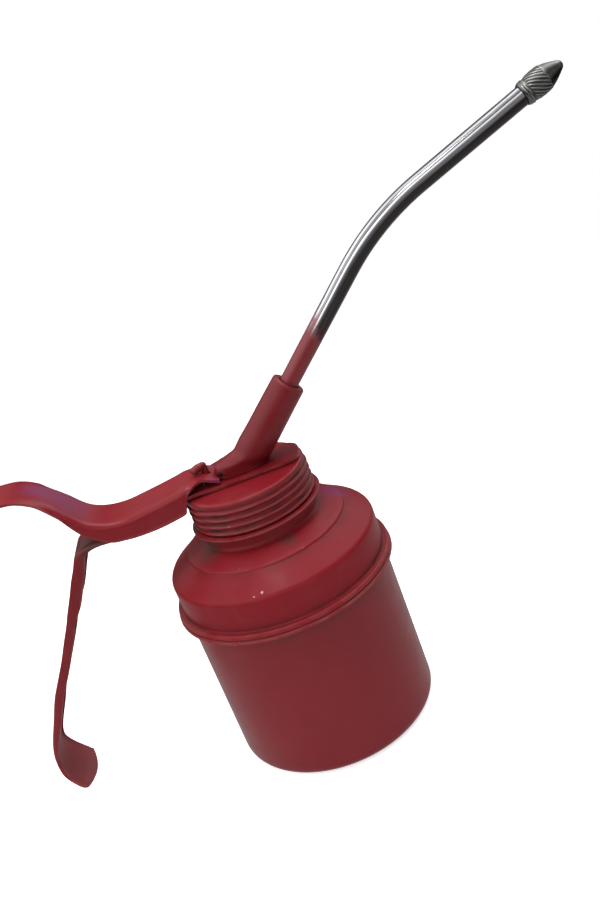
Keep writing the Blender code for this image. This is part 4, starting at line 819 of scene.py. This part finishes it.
# Oval between two points; its back half follows |cos|^p and |sin|^p with p = 2 / squareness
def ovalSection(upper, lower, half, squareness, count):
    angle = around(count)
    c, s = np.cos(angle), np.sin(angle)
    power = np.where(c < 0, 2.0 / squareness, 1.0)
    out = np.sign(c) * np.abs(c) ** power
    wide = np.sign(s) * np.abs(s) ** power
    middle, reach = (upper + lower) / 2, (lower - upper) / 2
    x = middle[0] + reach[0] * out
    z = middle[1] + reach[1] * out
    return np.stack([x, half * wide, z], axis=-1)


# Where the barrel's underside comes down to the foot: (gap + low cos lean) / sin lean along the axis
def underStart():
    s = socketSizes
    a = radians(s.lean)
    return (s.underGap + s.low * cos(a)) / sin(a)


# Oval sections lofted from the boss with its lug up the leaning barrel, round the rim and into the seat
def makeSocket():
    s = socketSizes
    under = underStart()
    over = (s.low - s.joinDepth) * tan(radians(s.lean)) * s.joinShare

    def side(along, sign):
        return leaning(along, sign * (s.low + (s.top - s.low) * along / s.length))

    def ring(along, radius):
        return ovalSection(leaning(along, radius), leaning(along, -radius), radius, 2.0, s.around)

    join = side(over, 1)
    back, lugTop, corner = s.back, s.lugTop, s.lugCorner
    uppers = [(back, s.foot), (back, lugTop - corner), (back + corner, lugTop)]
    uppers += [(join[0] * share + back * (1 - share), lugTop + rise) for share, rise in s.lugSlope]
    columns = []
    for k, (upper, (growth, squareness)) in enumerate(zip(uppers, s.boss)):
        lower = side(under + s.bossStep * k, -1)
        lower[1] = max(lower[1], s.foot)
        columns.append([*upper, *lower, s.half * growth, squareness])
    straight = s.length - s.rim
    lead = under + s.bossLead
    for share in s.barrel:
        up, down = over + (straight - over) * share, lead + (straight - lead) * share
        radius = s.low + (s.top - s.low) * (up + down) / 2 / s.length
        columns.append([*side(up, 1), *side(down, -1), radius, 2.0])
    rows = smoothRows(columns, s.rows, 4)
    rows[:, 4:] = relaxed(rows[:, 4:], s.easing)
    rows[:, 3] = np.maximum(rows[:, 3], s.foot)
    sections = [ovalSection(r[0:2], r[2:4], r[4], r[5], s.around) for r in rows]
    for angle in np.linspace(0.25, 1.0, 4) * pi / 2:
        sections.append(ring(straight + s.rim * sin(angle), s.top - s.rim * (1 - cos(angle))))
    sections.append(ring(s.length, s.seatRadius + s.chamfer))
    sections += [ring(s.length - depth, s.seatRadius) for depth in (s.chamfer, s.seatDepth)]
    socket = solid("spoutSocket", np.array(sections), capEnds=True)
    x0, x1, half, top = s.slot
    px, pz, pr = s.pin
    return cutAway(socket, block("lugSlot", (x0, -half, s.foot - 1), (x1, half, top)),
                   roundBar("pinHole", (px, -s.pinReach, pz), (px, s.pinReach, pz), pr))


dress(makeSocket(), paints.socketPaint, "head", "red_paint", "spout_socket", angle=40)
print("socket made")


# Spout tube and nozzle

tubeSizes = settings(
    radius=3.75, bore=2.85, seat=9.7, straight=48.7, bend=100.7, tip=19.9, end=44.9,
    inNozzle=4.7, around=72, steps=(40, 60),
)


# Straight out of the socket, one wide bend, straight into the nozzle
def tubePath():
    s, k = tubeSizes, socketSizes
    lean, tip = radians(k.lean), radians(s.tip)
    ahead = np.array([cos(lean), sin(lean)])
    face = leaning(k.length, 0.0)
    start = face - ahead * s.seat
    bendStart = face + ahead * s.straight
    centre = bendStart + np.array([sin(lean), -cos(lean)]) * s.bend
    angle = np.linspace(lean, tip, s.steps[1])[:, None]
    arc = centre + np.concatenate([-np.sin(angle), np.cos(angle)], axis=1) * s.bend
    tipAhead = np.array([cos(tip), sin(tip)])
    collar = arc[-1] + tipAhead * s.end
    along = np.linspace(0, 1, s.steps[0])[:, None]
    first = start + (bendStart - start) * along[:-1]
    last = arc[-1] + (collar + tipAhead * s.inNozzle - arc[-1]) * along[1:]
    return np.concatenate([first, arc, last]), collar, tipAhead


# Outer and inner walls joined round both ends; (1 - cos angle) / 2 round the tube is stored for painted shade
def makeTube():
    s = tubeSizes
    path, _, _ = tubePath()
    outer = sweptGrid(path, s.radius, s.around)
    inner = sweptGrid(path, s.bore, s.around)[::-1]
    tube = gridMesh("spoutTube", np.concatenate([outer, inner]), aroundRows=True, aroundColumns=True)
    topToUnderside = np.tile((1 - np.cos(around(s.around))) / 2, len(path) * 2)
    tube.data.attributes.new("topToUnderside", "FLOAT", "POINT").data.foreach_set("value", topToUnderside.astype(np.float32))
    return closedUp(tube)


dress(makeTube(), tubeFinish, "head", "chromed_brass", "spout_tube")

nozzleSizes = settings(
    start=1.8, length=17.4, collar=4.25, ring=4.75, band=5.1, bandStart=2.9, bandEnd=9.9,
    bore=3.9, boreCone=((5.0, 3.9), (10.4, 1.2), (15.5, 0.6)), tip=1.15, tipRound=(0.2, 0.25),
    hole=0.6, holeRound=0.15, flutes=20, depth=0.2, twist=-62.0, fade=10, around=360,
    cone=((0.02, 0.945), (0.08, 0.905), (0.3, 0.79), (0.5, 0.655), (0.7, 0.505), (0.86, 0.375), (0.95, 0.29)),
    belly=(0.55, 1.35, 0.75), bellyEnd=0.35, ringEnds=(0.12, 0.05), ringDrop=0.32, ringHeight=0.34,
    ringGrowth=2.2, collarRound=0.2,
)


# Tip, cone, band and two rings at the collar, then back through the bore.
# The band's radius is band - a (b share - c)^2 - end (1 - share)^6, with a, b and c from belly.
# Each ring stands up as the square root of |sin| over half a turn.
def nozzleOutline():
    s = nozzleSizes
    cone, run = s.length - s.bandEnd, s.bandEnd - s.bandStart
    edge, back = s.tipRound
    outline = [(s.hole + s.holeRound, s.length), (s.tip - edge, s.length), (s.tip, s.length - back)]
    outline += [(s.band * r, s.bandEnd + cone * a) for a, r in s.cone[::-1]]
    share = np.linspace(1.0, 0.0, 40)
    a, b, c = s.belly
    swell = s.band - a * (b * share - c) ** 2 - s.bellyEnd * (1 - share) ** 6
    outline += list(zip(swell, s.bandStart + run * share))
    low, high = s.ringEnds
    z = np.linspace(s.bandStart - high, low, 34)
    turn = (z - low) / (s.bandStart - (low + high))
    size = s.collar + (s.ring - s.collar) * np.clip(turn * s.ringGrowth, 0, 1)
    rings = size - s.ringDrop + s.ringHeight * np.abs(np.sin(turn * 2 * pi)) ** 0.5
    outline += list(zip(rings, z))
    outline += [(s.collar - s.collarRound, 0.0), (s.bore, 0.0)]
    return np.array(outline + [(r, z) for z, r in s.boreCone])


# The outline turned round its axis, laid along the spout's tip: x = along cos + out sin
def makeNozzle():
    s = nozzleSizes
    middle, half = (s.bandStart + s.bandEnd) / 2, (s.bandEnd - s.bandStart) / 2

    # Each flute is a raised cosine round the band, slanted along it and faded at both ends
    def flutes(r, z, angle):
        share = np.clip((z - middle) / half, -1, 1)
        wave = (1 - np.cos(s.flutes * (angle + radians(s.twist) * share / 2))) / 2
        fade = np.clip((1 - np.abs(share)) * s.fade, 0, 1)
        return np.where(r > s.bore + 0.25, -s.depth * wave * fade, 0.0)   # not in the bore

    grid = turnedGrid(nozzleOutline(), s.around, swell=flutes)
    _, collar, ahead = tubePath()
    collar = collar + ahead * s.start
    x = collar[0] + grid[..., 2] * ahead[0] + grid[..., 0] * ahead[1]
    z = collar[1] + grid[..., 2] * ahead[1] - grid[..., 0] * ahead[0]
    return solid("nozzle", np.stack([x, grid[..., 1], z], axis=-1), aroundRows=True)


dress(makeNozzle(), nozzleMetal, "nozzle", "chromed_brass", "spout_nozzle", angle=40)
print("spout made")


# Thumb lever

leverSizes = settings(
    sheet=1.1, half=10.8, bend=2.5, length=100.0, rise=22.4, flange=7.1, rows=300,
    pivot=(-8.0, 123.87), eye=1.7, bore=1.15, eyeHalf=1.6, rodHole=(-13.4, 1.8),
    clearance=0.6, front=0.9, edge=0.22, samples=(8, 10, 8), reaches=(3.0, 1.5),
    notch=(-6, 14), beyond=20, rodHoleEnds=(-6, 8),
    shares=(   # of the length back, of the rise, of the half width, of the flange; fold in degrees
        (0, -0.06, 0.713, 0.07, 0), (0.01, -0.042, 0.713, 0.07, 0), (0.025, -0.011, 0.713, 0.07, 0),
        (0.041, 0.022, 0.713, 0.07, 0), (0.054, 0.059, 0.713, 0.07, 0), (0.072, 0.092, 0.724, 0.07, 0),
        (0.09, 0.107, 0.778, 0.07, 8), (0.106, 0.107, 0.861, 0.07, 20), (0.126, 0.1, 0.955, 0.09, 45),
        (0.144, 0.086, 0.991, 0.12, 75), (0.16, 0.065, 1, 0.4, 88), (0.1665, 0.054, 1, 0.96, 90),
        (0.185, 0.038, 1, 0.985, 90), (0.213, 0.022, 1, 1, 90), (0.259, -0.006, 1, 1, 90),
        (0.304, -0.028, 1, 0.985, 90), (0.349, -0.05, 1, 0.925, 90), (0.394, -0.067, 1, 0.85, 90),
        (0.436, -0.059, 1, 0.805, 90), (0.477, -0.029, 1, 0.82, 90), (0.515, 0.029, 1, 0.715, 90),
        (0.551, 0.122, 1, 0.6, 90), (0.581, 0.258, 1, 0.64, 90), (0.608, 0.408, 1, 0.5, 90),
        (0.636, 0.56, 1, 0.26, 75), (0.666, 0.697, 1, 0.13, 45), (0.696, 0.806, 1, 0.075, 20),
        (0.728, 0.889, 1, 0.075, 12), (0.765, 0.966, 1, 0.075, 12), (0.804, 1.002, 1, 0.075, 12),
        (0.845, 1.018, 1, 0.075, 12), (0.89, 1.024, 1, 0.075, 12), (0.93, 1.02, 0.97, 0.075, 12),
        (0.965, 1.007, 0.85, 0.075, 12), (0.988, 0.993, 0.65, 0.075, 12), (1, 0.984, 0.4, 0.075, 12),
    ),
)


# The socket foot's plan grown by a clearance and drawn upright, to notch the tongue round it
def lugPrism(name, clearance, low, high):
    s = socketSizes
    front = leaning(underStart(), -s.low)[0]
    sections = []
    for z in (low, high):
        upper, lower = np.array([s.back - clearance, z]), np.array([front + clearance, z])
        sections.append(ovalSection(upper, lower, s.half * s.boss[2][0] + clearance, 3.0, s.around))
    return solid(name, np.array(sections), capEnds=True)


# A pressed channel whose front tongue is notched round the socket and ends in the eye on the pin
def makeLever():
    s = leverSizes
    px, pz = s.pivot
    rows = [(px - s.length * b, pz + s.rise * h, s.half * w, s.flange * f, fold, 0)
            for b, h, w, f, fold in s.shares]
    lever = pressed("thumbLever", s, rows, False)
    low, high = (pz + z for z in s.notch)
    eyeHalf, beyond = s.eyeHalf, s.beyond
    for side in (-1, 1):
        notch = lugPrism("notch", s.clearance, low, high)
        keep = sorted((side * eyeHalf, -side * beyond))
        cutAway(notch, block("keep", (-60, keep[0], low - 3), (60, keep[1], high + 6)))
        front = sorted((side * eyeHalf, side * beyond))
        cutAway(lever, notch, block("front", (px - s.front, front[0], low), (px + 6, front[1], high)))
    addOn(lever, roundBar("eye", (px, -eyeHalf, pz), (px, eyeHalf, pz), s.eye, 48))
    rodX, rodHole = s.rodHole
    rodLow, rodHigh = (pz + z for z in s.rodHoleEnds)
    return cutAway(lever, roundBar("eyeBore", (px, -5, pz), (px, 5, pz), s.bore),
                   roundBar("rodHole", (rodX, 0, rodLow), (rodX, 0, rodHigh), rodHole))


dress(makeLever(), paints.leverPaint, "lever", "red_paint", "thumb_lever")
print("lever made")


# Pin and plunger rod

pinSizes = settings(
    radius=0.95, half=4.6, dome=0.35, around=48,
    finish=((0.06, 0.03, 0.03), (0.14, 0.085, 0.085), 0.45),   # dark, light, roughness
)


# A bar across the lugs with a dome on both ends: half - dome (1 - cos t), radius sin t
def makePin():
    s = pinSizes
    dome = np.linspace(0, pi / 2, 7)
    cap = np.stack([s.radius * np.sin(dome), s.half - s.dome * (1 - np.cos(dome))], axis=1)
    grid = turnedGrid(np.concatenate([cap, cap[::-1] * (1, -1)]), s.around)
    px, pz = leverSizes.pivot
    placed = np.stack([px + grid[..., 0], -grid[..., 2], pz + grid[..., 1]], axis=-1)
    return solid("leverPin", placed)


dress(makePin(), metalFinish("pinSteel", *pinSizes.finish), "head", "bright_steel", "lever_pin")

rodSizes = settings(
    x=-13.4, low=94.0, disc=104.9, shoulder=122.52, tail=1.4, rod=2.1, top=1.35, run=1.65,
    hookTop=128.6, hookBend=0.55, hookLength=6.0, hookDrop=0.35, hookCurve=1.3, hookSwing=36.0,
    tip=0.55, around=48,
)


# One bar of three radii along a path that rises, turns over and runs back above the lever.
# The hook is swung about the bar's upright axis by hookSwing degrees.
def makeRod():
    s = rodSizes
    rise = np.linspace(s.low, s.hookTop - s.hookBend, 140)
    up = np.stack([np.full_like(rise, s.x), rise], axis=1)
    turn = np.linspace(0, pi / 2, 18)[1:]
    bend = np.stack([s.x - s.hookBend * (1 - np.cos(turn)),
                     s.hookTop - s.hookBend + s.hookBend * np.sin(turn)], axis=1)
    run = np.linspace(0, 1, 16)[1:]
    over = np.stack([bend[-1, 0] + (s.x - s.hookLength - bend[-1, 0]) * run,
                     s.hookTop - s.hookDrop * run ** s.hookCurve], axis=1)
    path = np.concatenate([up, bend, over])
    z = np.concatenate([rise, np.full(len(bend) + len(over), s.hookTop)])
    radius = np.where(z < s.disc, s.tail, np.where(z < s.shoulder, s.rod, s.top))
    tip = np.sqrt(np.clip(1 - (1 - np.linspace(1, 0, 6)) ** 2, 0, 1))
    radius[-len(over):] = s.run
    radius[-len(over):-len(over) + 4] = np.linspace(s.top, s.run, 4)
    radius[-6:] = s.run * (s.tip + (1 - s.tip) * tip)
    grid = sweptGrid(path, radius, s.around)
    swing = radians(s.hookSwing)
    away, side = grid[..., 0] - s.x, grid[..., 1].copy()
    grid[..., 0] = s.x + away * cos(swing) - side * sin(swing)
    grid[..., 1] = away * sin(swing) + side * cos(swing)
    return solid("plungerRod", grid, capEnds=True)


dress(makeRod(), paints.rodPaint, "plunger", "bright_steel", "plunger_rod")
print("pin and rod made")


# Inner pieces keep their solids and get their finishes

innerFinishes = {   # how it is made, dark, light, roughness and pebbles, pieces
    "brightSteel": (metalFinish, ((0.34, 0.34, 0.35), (0.58, 0.58, 0.58), 0.32), (
        "stem_washer", "stem_nut", "piston_washer", "piston_nut", "inlet_ball", "outlet_ball")),
    "oilyBrass": (metalFinish, ((0.4, 0.27, 0.09), (0.66, 0.47, 0.18), 0.34), (
        "piston_disc", "pump_barrel", "packing_ring", "foot_valve", "ball_retainer",
        "riser_tube", "outlet_valve", "suction_tube", "strainer")),
    "springWire": (metalFinish, ((0.22, 0.22, 0.24), (0.42, 0.42, 0.44), 0.36), (
        "return_spring", "outlet_spring")),
    "sealRubber": (softFinish, ((0.016, 0.016, 0.016), (0.036, 0.036, 0.036), 0.72, 500.0, 0.02), (
        "cap_gasket", "nozzle_seal")),
    "pumpLeather": (softFinish, ((0.16, 0.08, 0.035), (0.3, 0.17, 0.08), 0.8, 400.0, 0.05), (
        "piston_cup", "rod_packing")),
}
for finish, (makeFinish, look, names) in innerFinishes.items():
    innerMaterial = makeFinish(finish, *look)
    for name in names:
        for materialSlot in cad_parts[name].material_slots:
            materialSlot.material = innerMaterial
print("inner pieces finished")


# Stage, light and camera

stageLook = settings(
    half=900.0, drop=0.05, colour=0.86, roughness=0.9, shine=0.1,
    lift=0.6, mirrored=0.57, fade=(230.0, 620.0),
)


# Pale where the camera looks, darker in reflections, and gone well outside the object
def makeFloor():
    s = stageLook
    ends = np.array([-s.half, s.half])
    x, y = np.meshgrid(ends, ends)
    floor = gridMesh("floor", np.stack([x, y, np.full_like(x, -s.drop)], axis=-1))
    material, shader, place = newMaterial("paleFloor", s.roughness)
    wire(shader, {"Base Color": (s.colour, s.colour, s.colour, 1), "Specular IOR Level": s.shine})
    seen = addNode(shader, "LightPath")
    white = (1, 1, 1, 1)
    glow = addNode(shader, "Emission", {"Color": white, "Strength": times(seen["Is Camera Ray"], s.lift)})
    lifted = addNode(shader, "AddShader", {0: shader.outputs[0], 1: glow[0]})
    dim = addNode(shader, "Emission", {"Color": white, "Strength": s.mirrored})
    both = addNode(shader, "MixShader", {0: seen["Is Glossy Ray"], 1: lifted[0], 2: dim[0]})
    away = addNode(shader, "VectorMath", {0: place}, operation="LENGTH")["Value"]
    share = ramp(away, *(distance * mm for distance in s.fade))
    clear = addNode(shader, "BsdfTransparent")
    faded = addNode(shader, "MixShader", {0: share, 1: both[0], 2: clear[0]})
    wire(shader.id_data.nodes["Material Output"], {"Surface": faded[0]})
    floor.data.materials.append(material)


makeFloor()

# Soft lobes of light: azimuth (0 behind the object, 90 to its right), elevation, strength
lobes = (
    (0, 85, 1.55), (60, 60, 3.9), (120, 60, 0.33), (300, 60, 0.5),
    (40, 35, 1.4), (200, 35, 2.0), (240, 35, 2.3), (280, 35, 1.8), (320, 35, 1.25),
    (40, 10, 0.42), (120, 10, 0.52), (160, 10, 0.98),
)
lobeNarrowness = 14.0


# White to the camera. For light and reflections, a sum of lobes: strength max(0, cos angle) ^ narrowness.
def makeWorld():
    world = bpy.data.worlds.new("studio")
    bpy.context.scene.world = world
    world.use_nodes = True
    background = world.node_tree.nodes["Background"]
    direction = addNode(background, "TexCoord")["Generated"]
    total = None
    for azimuth, elevation, strength in lobes:
        a, e = radians(azimuth), radians(elevation)
        aim = (sin(a) * cos(e), cos(a) * cos(e), sin(e))
        facing = addNode(background, "VectorMath", {0: direction, 1: aim}, operation="DOT_PRODUCT")
        lobe = maths("POWER", maths("MAXIMUM", facing["Value"], 0.0), lobeNarrowness)
        lobe = times(lobe, strength)
        total = lobe if total is None else maths("ADD", total, lobe)
    seen = addNode(background, "LightPath")["Is Camera Ray"]
    light = times(total, maths("SUBTRACT", 1.0, seen))
    wire(background, {"Color": (1, 1, 1, 1), "Strength": maths("ADD", light, seen)})


makeWorld()

overheadLamp = settings(place=(-60.0, -140.0, 720.0), aim=(0.0, 0.0, 90.0), size=120.0, power=0.8)


# One small lamp above, for the fine bright lines on rounded edges
def makeLamp():
    s = overheadLamp
    light = bpy.data.lights.new("overhead", "AREA")
    light.energy = s.power
    light.size = s.size * mm
    lamp = linked("overhead", light)
    lamp.location = Vector(s.place) * mm
    aim = Vector(s.aim) * mm - lamp.location
    lamp.rotation_euler = aim.to_track_quat("-Z", "Y").to_euler()


makeLamp()

cameraSizes = settings(
    place=(35.41, -378.62, 275.04), azimuth=1.67, elevation=22.27, roll=-21.08,
    lens=41.44, sensor=36.0, clip=(0.01, 20.0),
)


# Right, up and back axes from azimuth and elevation, then turned by the roll
def makeCamera():
    s = cameraSizes
    a, e, roll = (radians(s[k]) for k in ("azimuth", "elevation", "roll"))
    back = Vector((sin(a) * cos(e), -cos(a) * cos(e), sin(e)))
    right = Vector((cos(a), sin(a), 0.0))
    up = back.cross(right)
    across = right * cos(roll) + up * sin(roll)
    above = up * cos(roll) - right * sin(roll)
    data = bpy.data.cameras.new("photoView")
    data.lens = s.lens
    data.sensor_fit = "VERTICAL"
    data.sensor_height = data.sensor_width = s.sensor
    data.clip_start, data.clip_end = s.clip
    camera = linked("photoView", data)
    turn = Matrix((across, above, back)).transposed().to_4x4()
    camera.matrix_world = Matrix.Translation(Vector(s.place) * mm) @ turn
    bpy.context.scene.camera = camera


makeCamera()
bpy.context.scene.view_settings.view_transform = "Standard"
print("stage, light and camera made")
